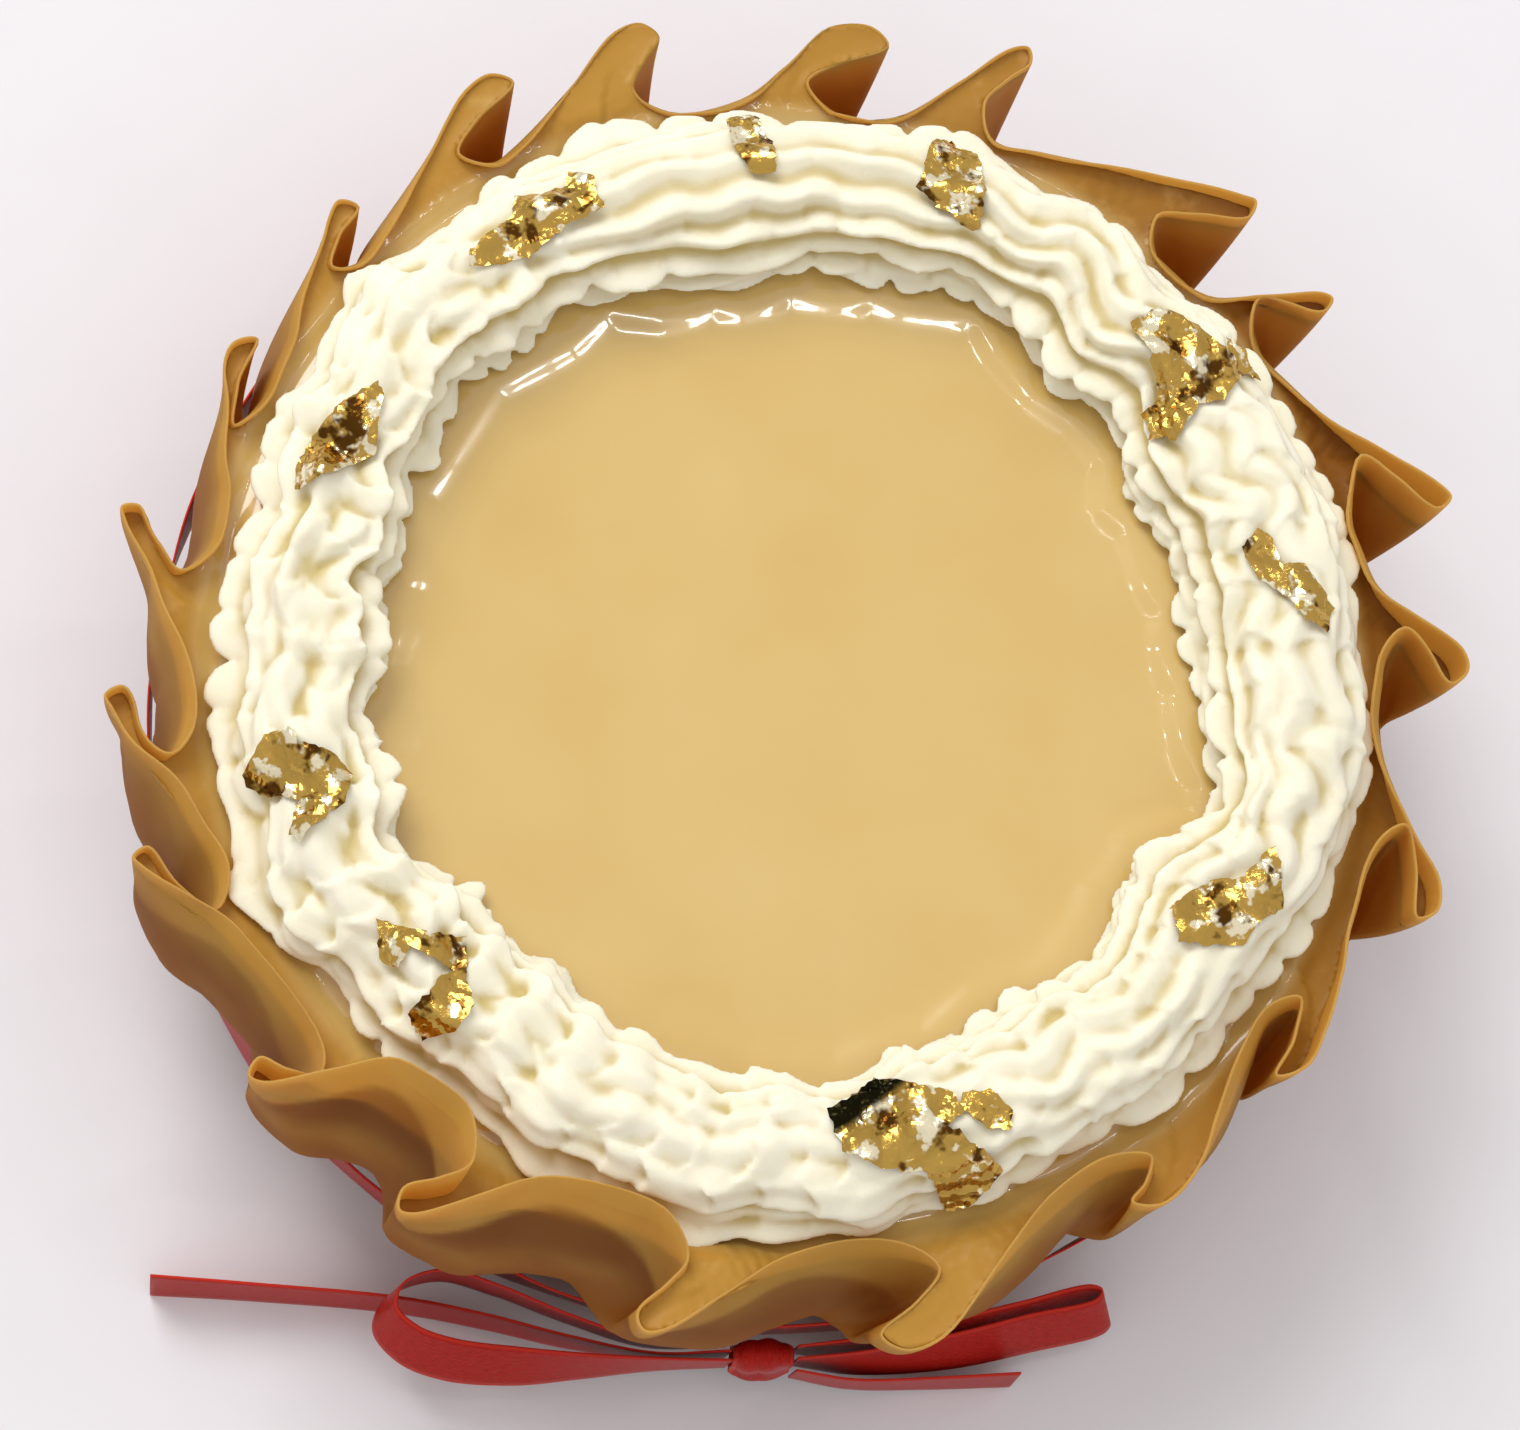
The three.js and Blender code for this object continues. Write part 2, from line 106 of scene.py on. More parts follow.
# %% Meshes from grids of points
def grid_faces(rows, columns, rows_meet=False, columns_meet=False, start=0):
    """The four-sided faces of a grid whose points are numbered row by row."""
    row = np.arange(rows if rows_meet else rows - 1)[:, None]
    column = np.arange(columns if columns_meet else columns - 1)[None, :]
    next_row = (row + 1) % rows
    next_column = (column + 1) % columns
    corners = [row * columns + column, row * columns + next_column,
               next_row * columns + next_column, next_row * columns + column]
    return (np.stack(np.broadcast_arrays(*corners), axis=-1).reshape(-1, 4) + start).tolist()


def make_piece(name, points, faces, material, smooth=True):
    """A mesh object from points in millimetres, in the frame's own place."""
    mesh = bpy.data.meshes.new(name)
    mesh.from_pydata((np.asarray(points).reshape(-1, 3) * MM).tolist(), [], faces)
    mesh.validate()
    mesh.polygons.foreach_set("use_smooth", [smooth] * len(mesh.polygons))
    mesh.materials.append(material)
    piece = bpy.data.objects.new(name, mesh)
    bpy.context.scene.collection.objects.link(piece)
    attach(piece, "root")
    return piece


def face_outward(piece):
    """Turns a closed mesh's faces so that they all look out."""
    work = bmesh.new()
    work.from_mesh(piece.data)
    bmesh.ops.recalc_face_normals(work, faces=work.faces)
    work.to_mesh(piece.data)
    work.free()


def mark_points(piece, name, values):
    """Gives each point of the piece a number under a name that its material can read."""
    at_points = piece.data.attributes.new(name, "FLOAT", "POINT")
    at_points.data.foreach_set("value", values)


# %% [markdown]
# The cake is round, so we think in compass angles about its axis: 0 is the back, +Y, 90 the right,
# +X, and so on clockwise. A few soft functions of an angle or a distance do all the blending: they
# are what a sculptor's falloff brush does, but they come out the same each time.

# %% Round the cake, and from one thing to another
def polar(angle, radius, height):
    """Points from compass angles in degrees, radii and heights."""
    turn = np.radians(angle)
    return np.stack(np.broadcast_arrays(radius * np.sin(turn), radius * np.cos(turn), height), -1)


def compass_of(points):
    """The compass angle in degrees of each point."""
    return np.degrees(np.arctan2(points[..., 0], points[..., 1]))


def radius_of(points):
    """How far each point is from the cake's axis."""
    return np.hypot(points[..., 0], points[..., 1])


def unit(vectors):
    """The same directions, all with length 1."""
    return vectors / np.linalg.norm(vectors, axis=-1, keepdims=True)


def mix(a, b, part):
    """a where part is 0, b where it is 1, and a blend of them in between."""
    return a + (b - a) * part


def ripples(points, size, seed, waves=9):
    """Smooth bumps about `size` mm across, from about -1 to 1: a sum of seeded waves."""
    random = np.random.default_rng(seed)
    total = 0.0
    for _ in range(waves):
        direction = random.normal(size=3)
        direction *= 2 * np.pi / (size * random.uniform(0.75, 1.5) * np.linalg.norm(direction))
        total = total + np.sin(points @ direction + random.uniform(0, 2 * np.pi))
    return total / 3


def ease(x, low, high):
    """0 below `low`, 1 above `high` and a smooth step between."""
    t = np.clip((np.asarray(x, float) - low) / (high - low), 0, 1)
    return t * t * (3 - 2 * t)


def bell(x, middle, spread):
    """A bump of height 1 on compass angles, so 359 degrees is next to 1."""
    away = (np.asarray(x, float) - middle + 180) % 360 - 180
    return np.exp(-(away / spread) ** 2)


# %% [markdown]
# ## The camera
# The photograph looks down on the cake from 17 degrees off upright, a little from the front left.
# The camera comes first because it says how large everything shows: at this distance and focal
# length one millimetre of cake is about seven pixels of a 1520 pixel wide picture. The point over
# the cake's middle isn't quite in the picture's middle, so the camera is turned by that much.

# %% Camera
photo_width = 1520
camera_distance = 0.650
camera_tilt = math.radians(17)
camera_compass = math.radians(207)
focal_px = 4440                   # pixels that a thing as wide as its distance would take
middle_off_px = (35, 62)          # how far right of and above the picture's middle it lies
watched = Vector((0, 0, 0.060))
toward_camera = Vector((
    math.sin(camera_tilt) * math.sin(camera_compass),
    math.sin(camera_tilt) * math.cos(camera_compass),
    math.cos(camera_tilt),
))
right = Vector((0, 1, 0)).cross(toward_camera).normalized()
above = toward_camera.cross(right)
back = toward_camera + (middle_off_px[0] * right + middle_off_px[1] * above) / focal_px
back.normalize()
right = (right - right.dot(back) * back).normalized()
above = back.cross(right)

camera_data = bpy.data.cameras.new("cake_camera")
camera_data.sensor_width = 36
camera_data.lens = focal_px / photo_width * camera_data.sensor_width
camera = bpy.data.objects.new("cake_camera", camera_data)
camera.matrix_world = Matrix((right, above, back)).transposed().to_4x4()
camera.location = watched + camera_distance * toward_camera
bpy.context.scene.collection.objects.link(camera)
bpy.context.scene.camera = camera
print("camera at", [round(x, 3) for x in camera.location], "lens", round(camera_data.lens, 1), "mm")

# %% [markdown]
# ## The baking paper
# The cake was baked in a sheet of brown paper pressed into the tin. Round the side it stands in
# about twenty folds that all lean the same way, like breaking waves: each runs out from the cake to
# a rounded tip and curls back in under it. We could drape a sheet by cloth simulation, but these
# folds were shaped by hand and set by the oven, so we draw them: one line along the rim, one wave at
# the waist under the ribbon, and between the two a sheet that opens quickly above the ribbon and
# bulges out on the side of each fold that faces the wind.

# %% The folds, going clockwise
# rise: compass angle where the fold leaves the cake. tip, reach: angle and radius of its tip, mm.
# round: half-width of the tip, degrees. back, foot: where its lee side curls to and comes home.
# home, rim: radius and height of the rim there, mm. belly: how far out the fold's windward side
# bulges above the ribbon.
fold_words = ("rise", "tip", "reach", "round", "back", "foot", "home", "rim", "belly")
folds = [dict(zip(fold_words, numbers)) for numbers in (
    (-5, 6.0, 101.3, 2.6, 1.4, 4.5, 85.6, 57, 95),
    (10.5, 20.2, 105.2, 0.8, 18.4, 20.6, 88.0, 58, 95),
    (25, 43.4, 103.8, 0.8, 38.0, 40.5, 85.0, 57.5, 96),
    (47, 54.0, 103.0, 0.7, 50.4, 54.5, 87.5, 57, 96),
    (60, 74.0, 103.9, 0.9, 68.4, 74.5, 87.2, 60, 96),
    (80.5, 88.8, 101.8, 1.5, 85.4, 89.0, 87.6, 60, 96),
    (98.5, 109.8, 102.0, 1.9, 103.9, 106.5, 90.4, 60, 96),
    (115, 127.5, 95.6, 3.2, 123.6, 126.2, 86.0, 61, 94),
    (131, 145.5, 96.0, 3.0, 144.6, 148.2, 86.2, 61, 96),
    (155, 170.3, 102.3, 2.4, 167.0, 170.5, 87.0, 60, 98),
    (180, 191.8, 101.8, 1.2, 189.9, 193.0, 84.8, 65, 99),
    (204, 213.6, 101.0, 1.0, 211.0, 214.5, 84.0, 69, 100),
    (222, 229.5, 101.2, 0.9, 226.4, 228.5, 89.8, 60, 100),
    (241, 250.4, 100.5, 0.7, 243.9, 246.5, 88.6, 60, 100.5),
    (252, 264.0, 100.2, 0.9, 258.5, 260.8, 87.8, 61, 98),
    (268, 280.4, 99.8, 0.7, 275.9, 279.0, 85.4, 59, 94.5),
    (285, 297.8, 94.2, 1.8, 291.2, 294.2, 85.8, 58, 93),
    (300, 314.6, 96.2, 1.2, 309.9, 312.0, 86.6, 58, 94),
    (316, 332.2, 100.5, 2.0, 326.3, 329.0, 87.0, 58, 95),
    (332.5, 346.2, 101.6, 1.9, 344.7, 347.5, 86.2, 57, 95),
)]
paper_thickness = 0.45
waist_trough = 87.0               # where the ribbon pulls the paper against the cake
waist_crest = 92.6                # the folds gathered under the ribbon
waist_height = 21
cake_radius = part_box("cheesecake")[1][0] / MM
caramel_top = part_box("caramel_top")[1][2] / MM
paper_inside = cake_radius + 1.1
opening = 2                       # above 1, a fold opens sooner than a straight wall would
least_bulge = 0.55                # the share of the belly that a trough between folds gets
bulge_breadth = 0.6               # under 1, a bulge reaches nearly as far out over more of the wall
print(len(folds), "folds round a cake of radius", round(cake_radius, 1), "mm")


# %% A smooth curve through points
def smooth_curve(points, closed):
    """A function of t, from 0 to 1, through the points: a centripetal Catmull-Rom curve."""
    points = np.asarray(points, float)
    count = len(points)
    if closed:
        padded = points[(np.arange(-1, count + 2)) % count]
    else:
        padded = np.vstack([2 * points[0] - points[1], points, 2 * points[-1] - points[-2]])
    spans = count if closed else count - 1

    def at(t):
        place = np.clip(np.asarray(t, float), 0, 1) * spans
        span = np.minimum(place.astype(int), spans - 1)
        w = (place - span)[..., None]
        p0, p1, p2, p3 = (padded[span + k] for k in range(4))
        d0, d1, d2 = (np.sqrt(np.linalg.norm(b - a, axis=-1, keepdims=True))
                      for a, b in ((p0, p1), (p1, p2), (p2, p3)))
        t1 = ((p1 - p0) / d0 - (p2 - p0) / (d0 + d1) + (p2 - p1) / d1) * d1
        t2 = ((p2 - p1) / d1 - (p3 - p1) / (d1 + d2) + (p3 - p2) / d2) * d1
        return (p1 + t1 * w + (3 * (p2 - p1) - 2 * t1 - t2) * w ** 2
                + (2 * (p1 - p2) + t1 + t2) * w ** 3)
    return at


# %% The rim and the waist
# Each fold gives eight points of the rim and eight of the waist. Parts such as 0.55 say how far
# along the fold a point lies, or how far out.
rim_points = []
waist_points = []
for i, fold in enumerate(folds):
    before = folds[i - 1]
    turn_over = 360 if i + 1 == len(folds) else 0
    gap = folds[(i + 1) % len(folds)]["rise"] + turn_over - fold["tip"]
    rise, tip, reach, half, curl, foot, home, rim, belly = (fold[word] for word in fold_words)
    out = reach - before["home"]
    crown = max(rim, before["rim"]) - 1
    leaves = tip - half - rise
    rim_points += [polar(*place) for place in (
        # out from the cake on the windward side
        (rise, before["home"] + 0.06 * out, before["rim"]),
        (rise + 0.55 * leaves, before["home"] + 0.48 * out, mix(before["rim"], crown, 0.5)),
        # round the tip
        (tip - half, reach - 0.8, crown),
        (tip + 0.3 * half, reach, crown),
        (tip + half, reach - 2.6, crown),
        # curling back under it, and home to the cake
        (mix(curl, tip + half, 0.45), mix(home, reach, 0.6), crown),
        (curl, mix(home, reach, 0.33), mix(rim, crown, 0.5)),
        (foot, home, rim),
    )]
    waist_points += [polar(angle, mix(waist_trough, waist_crest, part), waist_height)
                     for angle, part in (
        (rise, 0.25), (rise + 0.45 * leaves, 0.85), (tip - 1.5, 1), (tip, 1),
        (tip + 0.16 * gap, 0.8), (tip + 0.34 * gap, 0.45), (tip + 0.52 * gap, 0.15),
        (tip + 0.76 * gap, 0),
    )]
rim_curve = smooth_curve(rim_points, True)
waist_curve = smooth_curve(waist_points, True)
points_in_fold = len(rim_points) // len(folds)
belly_radii = np.repeat([fold["belly"] for fold in folds], points_in_fold)
print("rim drawn through", len(rim_points), "points")

# %% [markdown]
# Now the sheet itself: rows of points from the foot to the rim. Small pleats gather under the
# ribbon and die out above it, and the cut rim wanders by a few tenths of a millimetre. A Solidify
# modifier would give the sheet its thickness, but it leaves a square edge. So we go up the outer
# face, over the rounded rim and down the inner face.

# %% The standing sheet
paper_columns = 960
around = np.arange(paper_columns) / paper_columns


def paper_row(part, u=around):
    """The sheet's middle at a part of its height from the waist, 0, to the rim, 1."""
    rim = rim_curve(u)
    waist = waist_curve(u)
    part = np.broadcast_to(part, u.shape)
    fullness = (radius_of(waist) - waist_trough) / (waist_crest - waist_trough)
    row = mix(waist, rim, (1 - (1 - part) ** opening)[:, None])
    row[:, 2] = mix(waist_height, rim[:, 2], part)
    radius = radius_of(row)
    belly = np.interp(u * len(belly_radii), np.arange(len(belly_radii) + 1),
                      np.append(belly_radii, belly_radii[0]))
    swell = np.maximum(np.sin(np.pi * np.sqrt(part)), 0) ** bulge_breadth
    bulging = mix(least_bulge, 1, fullness) * swell
    bulged = mix(radius, np.maximum(radius, belly), bulging)
    leans_in = ease(row[:, 2], caramel_top + 1, caramel_top + 4) * (part > 0.97)
    kept = mix(np.maximum(bulged, paper_inside), bulged, leans_in)
    row[:, :2] *= (kept / radius)[:, None]
    return row


def paper_height(u, height):
    """The sheet's middle at a height in mm."""
    rim = rim_curve(u)[:, 2]
    return paper_row(np.clip((height - waist_height) / (rim - waist_height), 0, 0.97), u)


foot_heights = (0, 1.5, 4, 7.5, 11, 15, 18.5)
foot_drawn_in = 0.985             # the foot's size beside the waist's
rows = []
for height in foot_heights:
    row = paper_row(0.0)
    drawn = mix(foot_drawn_in, 1.0, height / waist_height)
    radius = radius_of(row)
    row[:, :2] *= (np.maximum(radius * drawn, paper_inside) / radius)[:, None]
    row[:, 2] = height
    rows.append(row)
for part in np.linspace(0, 1, 27) ** 0.9:       # closer together towards the rim
    rows.append(paper_row(part))
sheet = np.array(rows)
print("sheet:", len(sheet), "rows of", paper_columns, "points")

# %% Pleats, waves and the cut rim
pleats_round = 34
pleats_height, pleats_spread = 15, 11           # mm: where they are deepest, and how far they go
pleat_out, pleat_in = 0.0022, 0.0075            # as parts of the radius
wave_depth = 0.28
rim_wander = 0.3
height = sheet[:, :, 2]
turn = np.radians(compass_of(sheet))
pleats = np.abs(np.sin(turn * pleats_round + 1.5 * np.sin(turn * 7)))
gathered = np.exp(-((height - pleats_height) / pleats_spread) ** 2)
sheet[:, :, :2] *= (1 + gathered * (pleat_out - pleat_in * (1 - pleats) ** 1.5))[:, :, None]
upper = ease(height, 30, 56)
upright_waves = ripples(sheet * (1, 1, 0.25), 11, 3)
sheet += (upper * wave_depth * upright_waves)[:, :, None] * (0.7, 0.7, 0)
sheet[-1, :, 2] += rim_wander * ripples(sheet[-1], 9, 4)
print("rim between", round(sheet[-1, :, 2].min(), 1), "and", round(sheet[-1, :, 2].max(), 1), "mm up")

# %% The sheet's two faces
along = np.roll(sheet, -1, axis=1) - np.roll(sheet, 1, axis=1)
rising = np.gradient(sheet, axis=0)
outward = unit(np.cross(rising, along))
outward *= np.sign(np.sum(outward[3] * sheet[3] * (1, 1, 0)))
half = paper_thickness / 2
# over the rim: how far to the outer side, as a part of half the thickness, and how far up, mm
over_rim = [(1, -0.25), (0.75, 0.12), (0, 0.3), (-0.75, 0.12), (-1, -0.25)]
shell = list(sheet[:-1] + half * outward[:-1])
for side, lift in over_rim:
    shell.append(sheet[-1] + half * side * outward[-1] + (0, 0, lift))
shell += list((sheet[:-1] - half * outward[:-1])[::-1])
shell[-1][:, 2] = paper_thickness
shell = np.array(shell)
print("paper grid", shell.shape[:2])

# %% [markdown]
# The finish: silicone baking paper that has soaked up butter and caramel. It is tan and waxy, and
# soaked paper lets light through, so a Translucent shader is mixed with the usual Principled one.
# Low in the folds it goes from amber at the rim to a red brown: painted shade, for the shade deep in
# the folds. Its fibres are about 0.05 mm wide, too fine to show. So its grain is drawn at 1 mm, and the
# mottling at 7 and 18 mm, as the butter soaked in.

# %% Finish: buttered silicone baking paper
def buttered_baking_paper():
    material, tree, place = start_material("buttered_silicone_baking_paper")
    mottle_and_painted_shade = add_node(tree, "ShaderNodeTexNoise", {}, {
        "Vector": place.outputs["Object"], "Scale": per_metre(18.18), "Detail": 3.0,
        "Roughness": 0.5})
    stretched = add_node(tree, "ShaderNodeMapping", {}, {
        "Vector": place.outputs["Object"], "Scale": (1.0, 1.0, 0.12)})
    bands = add_node(tree, "ShaderNodeTexNoise", {}, {
        "Vector": stretched.outputs["Vector"], "Scale": per_metre(6.667), "Detail": 2.0})
    tone = add_node(tree, "ShaderNodeMath", {"operation": "MULTIPLY"}, {
        0: bands.outputs["Fac"], 1: 0.55})
    tone = add_node(tree, "ShaderNodeMath", {"operation": "MULTIPLY_ADD"}, {
        0: mottle_and_painted_shade.outputs["Fac"], 1: 0.6, 2: tone.outputs["Value"]})
    colour = add_node(tree, "ShaderNodeMix", {"data_type": "RGBA"}, {
        0: tone.outputs["Value"], 6: linear("#cca040"), 7: linear("#e8ca6c")})
    # Painted shade: lower down in the folds the paper is painted red brown, and the mottling wobbles
    # where that starts.
    high = add_node(tree, "ShaderNodeSeparateXYZ", {}, {0: place.outputs["Object"]})
    shade_height = add_node(tree, "ShaderNodeMath", {"operation": "MULTIPLY_ADD"}, {
        0: mottle_and_painted_shade.outputs["Fac"], 1: 0.03, 2: high.outputs["Z"]})
    painted_low_shade = add_node(tree, "ShaderNodeMapRange", {"interpolation_type": "SMOOTHSTEP"}, {
        "Value": shade_height.outputs["Value"], "From Min": 0.048, "From Max": 0.074,
        "To Min": 0.85, "To Max": 0.0})
    colour = add_node(tree, "ShaderNodeMix", {"data_type": "RGBA"}, {
        0: painted_low_shade.outputs["Result"], 6: colour.outputs[2], 7: linear("#a67034")})
    # Painted shade: dark red-brown patches on the front wall under the overhanging rim.
    painted_shade_patches = add_node(tree, "ShaderNodeAttribute", {"attribute_name": "mottle_and_painted_shade"})
    colour = add_node(tree, "ShaderNodeMix", {"data_type": "RGBA"}, {
        0: painted_shade_patches.outputs["Fac"], 6: colour.outputs[2], 7: linear("#743a16")})
    # Painted highlight: the rounded rim is painted paler, for the light that the thin edge catches.
    edge = add_node(tree, "ShaderNodeAttribute", {"attribute_name": "painted_rim_highlight"})
    colour = add_node(tree, "ShaderNodeMix", {"data_type": "RGBA"}, {
        0: edge.outputs["Fac"], 6: colour.outputs[2], 7: linear("#dcc070")})
    grain = add_node(tree, "ShaderNodeTexNoise", {}, {
        "Vector": place.outputs["Object"], "Scale": per_metre(1.111), "Detail": 2.0})
    bump = add_node(tree, "ShaderNodeBump", {}, {
        "Height": grain.outputs["Fac"], "Strength": 0.05, "Distance": 0.0003})
    sheet_front = add_node(tree, "ShaderNodeBsdfPrincipled", {}, {
        "Base Color": colour.outputs[2], "Roughness": 0.45, "IOR": 1.5,
        "Specular IOR Level": 0.08, "Normal": bump.outputs["Normal"]})
    light_through = add_node(tree, "ShaderNodeBsdfTranslucent", {}, {"Color": linear("#f2ca80")})
    shader = add_node(tree, "ShaderNodeMixShader", {}, {
        0: 0.58, 1: sheet_front.outputs["BSDF"], 2: light_through.outputs["BSDF"]})
    add_node(tree, "ShaderNodeOutputMaterial", {}, {"Surface": shader.outputs["Shader"]})
    return material


# %% The paper as one piece, closed under the cake
faces = grid_faces(len(shell), paper_columns, columns_meet=True)
centres = [(0, 0, 0), (0, 0, paper_thickness)]  # of the floor's lower and upper face
first = len(shell) * paper_columns
last_row = first - paper_columns
for i in range(paper_columns):
    after = (i + 1) % paper_columns
    faces.append((first, after, i))
    faces.append((first + 1, last_row + i, last_row + after))
paper = make_piece("folded_baking_paper", np.vstack([shell.reshape(-1, 3), centres]), faces,
                   buttered_baking_paper())
face_outward(paper)
# The rows over the rim carry the painted highlight, strongest on top.
rim_highlight_rows = np.zeros(len(shell))
edge_starts = len(sheet) - 1
rim_highlight_rows[edge_starts:edge_starts + len(over_rim)] = (0.6, 1, 1, 1, 0.6)
mark_points(paper, "painted_rim_highlight", np.append(np.repeat(rim_highlight_rows, paper_columns), [0, 0]))
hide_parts("baking_paper")
print("paper:", len(paper.data.polygons), "faces")

# %% [markdown]
# At the front, between the tips, the paper's outer wall under the overhanging rim is darkened with
# painted shade. Such a dark patch has an arched upper edge a few millimetres under the rim and fades
# out below. A painted mask could hold the patches, but we know where the folds are, so we work out how
# deep in a patch each point lies.

# %% Painted shade under the rim between the front tips
shade_patch_middle, shade_patch_spread = 208, 34          # compass angles
patch_reach = 0.42                # half a patch's width, as a part of the way between two tips
tips = [fold["tip"] for fold in folds]
shell_compass = compass_of(shell) % 360
under_rim = rim_curve(around)[:, 2] - shell[:, :, 2]
mottle_and_painted_shade = np.zeros(shell_compass.shape)
# Each patch of painted shade lies between two tips, with an arched upper edge under the rim.
for tip, next_tip in zip(tips, tips[1:]):
    between = mix(tip, next_tip, 0.45)
    aside = (shell_compass - between) / (patch_reach * (next_tip - tip))
    arch = 4.5 + 9 * aside ** 2
    patch = ease(under_rim, arch, arch + 2.5) * (1 - ease(under_rim, 15, 30))
    strong = min(1.3 * bell(between, shade_patch_middle, shade_patch_spread), 1)
    mottle_and_painted_shade = np.maximum(mottle_and_painted_shade, patch * (np.abs(aside) < 1.3) * strong)
mark_points(paper, "mottle_and_painted_shade", np.append(0.75 * mottle_and_painted_shade.ravel(), [0, 0]))
print("soaked through:", round(100 * float(np.mean(mottle_and_painted_shade > 0.5)), 1), "% of the paper")

# %% [markdown]
# ## The caramel
# The caramel was poured on last before the cream. It lies level on the cake, climbs a little where
# it touches the cream, and has run out over the folds of the paper. At the back and the front it
# fills them to the rim, and at the right it sinks towards their tips. A disc wouldn't do, so we take
# the paper's own inner line at the caramel's level as the outline, scatter points inside it, and let
# Blender's Delaunay triangulation join them. Then each point gets its height from how near the
# cream or the paper it is.

# %% Where the cream stands, for the caramel and the piping
cream_middle = 72.3
cream_inside = 60.8
scallop_depth = 1.2
cream_foot = caramel_top
# How far in or out the ring's two edges wander from a circle: compass angle, mm.
inner_edge = ((0, -1.9), (5, -1.4), (10, -1.2), (16, -0.2), (22, 1.3), (27, 2.3), (32, 0.2), (41, -1.7),
              (47, -1.3), (55, 0.1), (62, -4.4), (70, -3.0), (78, -2.1), (85, -1.9), (94, -0.6),
              (102, 2.7), (109, 6.4), (112, 2.0), (117, -2.2), (126, -2.8), (132, -0.8), (139, -0.2),
              (146, -1.7), (152, -1.7), (158, -0.4), (165, 0.5), (180, 2.1), (190, 0.6), (200, -0.1),
              (210, -2.1), (220, -2.1), (230, -0.7), (240, 1.9), (250, 1.3), (260, -0.4), (270, -0.1),
              (280, -1.9), (290, -0.1), (300, 0.8), (312, 1.0), (325, -0.2), (332, 0.8), (339, -1.7),
              (345, -3.0), (352, -3.2), (360, -1.9))
outer_edge = ((0, -0.5), (15, -1.0), (30, 1.0), (60, 0.3), (85, 0.5), (100, 4.0), (112, 2.5),
              (125, -1.5), (150, -1.5), (165, 0.3), (180, 2.0), (195, 0.5), (210, -1.2), (225, -1.5),
              (240, 2.0), (255, -0.5), (270, -2.5), (285, -4.0), (300, -1.6), (312, 0.0),
              (325, -1.2), (340, 0.0), (360, -0.5))


def inner_scallops(angle):
    """Radius of the cream's inner foot at a compass angle."""
    turn = np.radians(angle)
    lobes = np.abs(np.sin(11.5 * turn + 0.8 * np.sin(4 * turn)))
    wander = np.interp(angle % 360, *np.array(inner_edge).T)
    return cream_inside - scallop_depth * lobes + wander


print("cream from", round(float(inner_scallops(np.arange(360)).min()), 1), "mm out")


# %% How the caramel lies in the folds
def sunk_in_folds(compass, radius):
    """How far the caramel's level drops towards a fold's tip, mm: most of all on the right."""
    return (0.4 + 4.4 * bell(compass, 82, 42)) * ease(radius, 86, 97)


def filled(compass, radius):
    """1 where the caramel fills a fold to its rim: the tongues at the back and at the front."""
    full = bell(compass, 355, 32) + bell(compass, 178, 26) + 0.35 * bell(compass, 262, 50)
    return np.minimum(full, 1) * ease(radius, 87, 94)


# %% The caramel's outline
edge_rise = 0.8                   # how far above the cake's top it stands at the paper
into_paper = 0.05                 # how far it goes into the paper, so that no gap shows
rim_height = rim_curve(around)[:, 2]
edge_height = caramel_top + edge_rise
for _ in range(4):                # the outline gives the height, and the height the outline
    outline = paper_height(around, edge_height)
    edge_compass = compass_of(outline)
    edge_radius = radius_of(outline)
    level_there = caramel_top + edge_rise - sunk_in_folds(edge_compass, edge_radius)
    edge_height = mix(level_there, rim_height + 0.1, filled(edge_compass, edge_radius))
step = np.roll(outline, -1, axis=0) - np.roll(outline, 1, axis=0)
inward = unit(np.stack([step[:, 1], -step[:, 0], 0 * step[:, 0]], -1))
inward *= -np.sign(np.sum(inward * outline))
outline = (outline - into_paper * inward)[:, :2]
print("caramel's edge: from", round(edge_height.min(), 1), "to", round(edge_height.max(), 1), "mm up")


# %% Points inside an outline
def rings_of_points(radii_from, radii_to, spacing):
    """Points on rings about `spacing` mm apart."""
    found = []
    for k, radius in enumerate(np.arange(radii_from, radii_to, spacing)):
        count = max(int(2 * np.pi * radius / spacing), 1)
        turns = (np.arange(count) + 0.5 * (k % 2)) / count * 360
        found.append(polar(turns, radius, 0)[:, :2])
    return np.vstack(found)


def inside_outline(points, outline):
    """Which points lie inside a closed outline: those with an odd number of crossings."""
    ahead = np.roll(outline, -1, axis=0)
    odd = np.zeros(len(points), bool)
    for (x0, y0), (x1, y1) in zip(outline, ahead):
        if y0 == y1:
            continue
        spans = (points[:, 1] >= min(y0, y1)) & (points[:, 1] < max(y0, y1))
        crossing = x0 + (points[:, 1] - y0) * (x1 - x0) / (y1 - y0)
        odd ^= spans & (points[:, 0] < crossing)
    return odd


def nearest(points, targets):
    """For each point, the number of the nearest target in the plane, and how far it is."""
    tree = KDTree(len(targets))
    for i, (x, y) in enumerate(targets):
        tree.insert((x, y, 0), i)
    tree.balance()
    found = [tree.find((x, y, 0)) for x, y in points]
    return np.array([which for _, which, _ in found]), np.array([far for _, _, far in found])


def fill_outline(edge, inner):
    """Triangles between the points of a closed outline and those inside it, which stay in order."""
    ring = [(i, (i + 1) % len(edge)) for i in range(len(edge))]
    every = [Vector(place) for place in np.vstack([edge, inner])]
    places, _, triangles, *_ = delaunay_2d_cdt(every, ring, [], 1, 1e-6)
    return np.array([tuple(place) for place in places]), [tuple(face) for face in triangles]


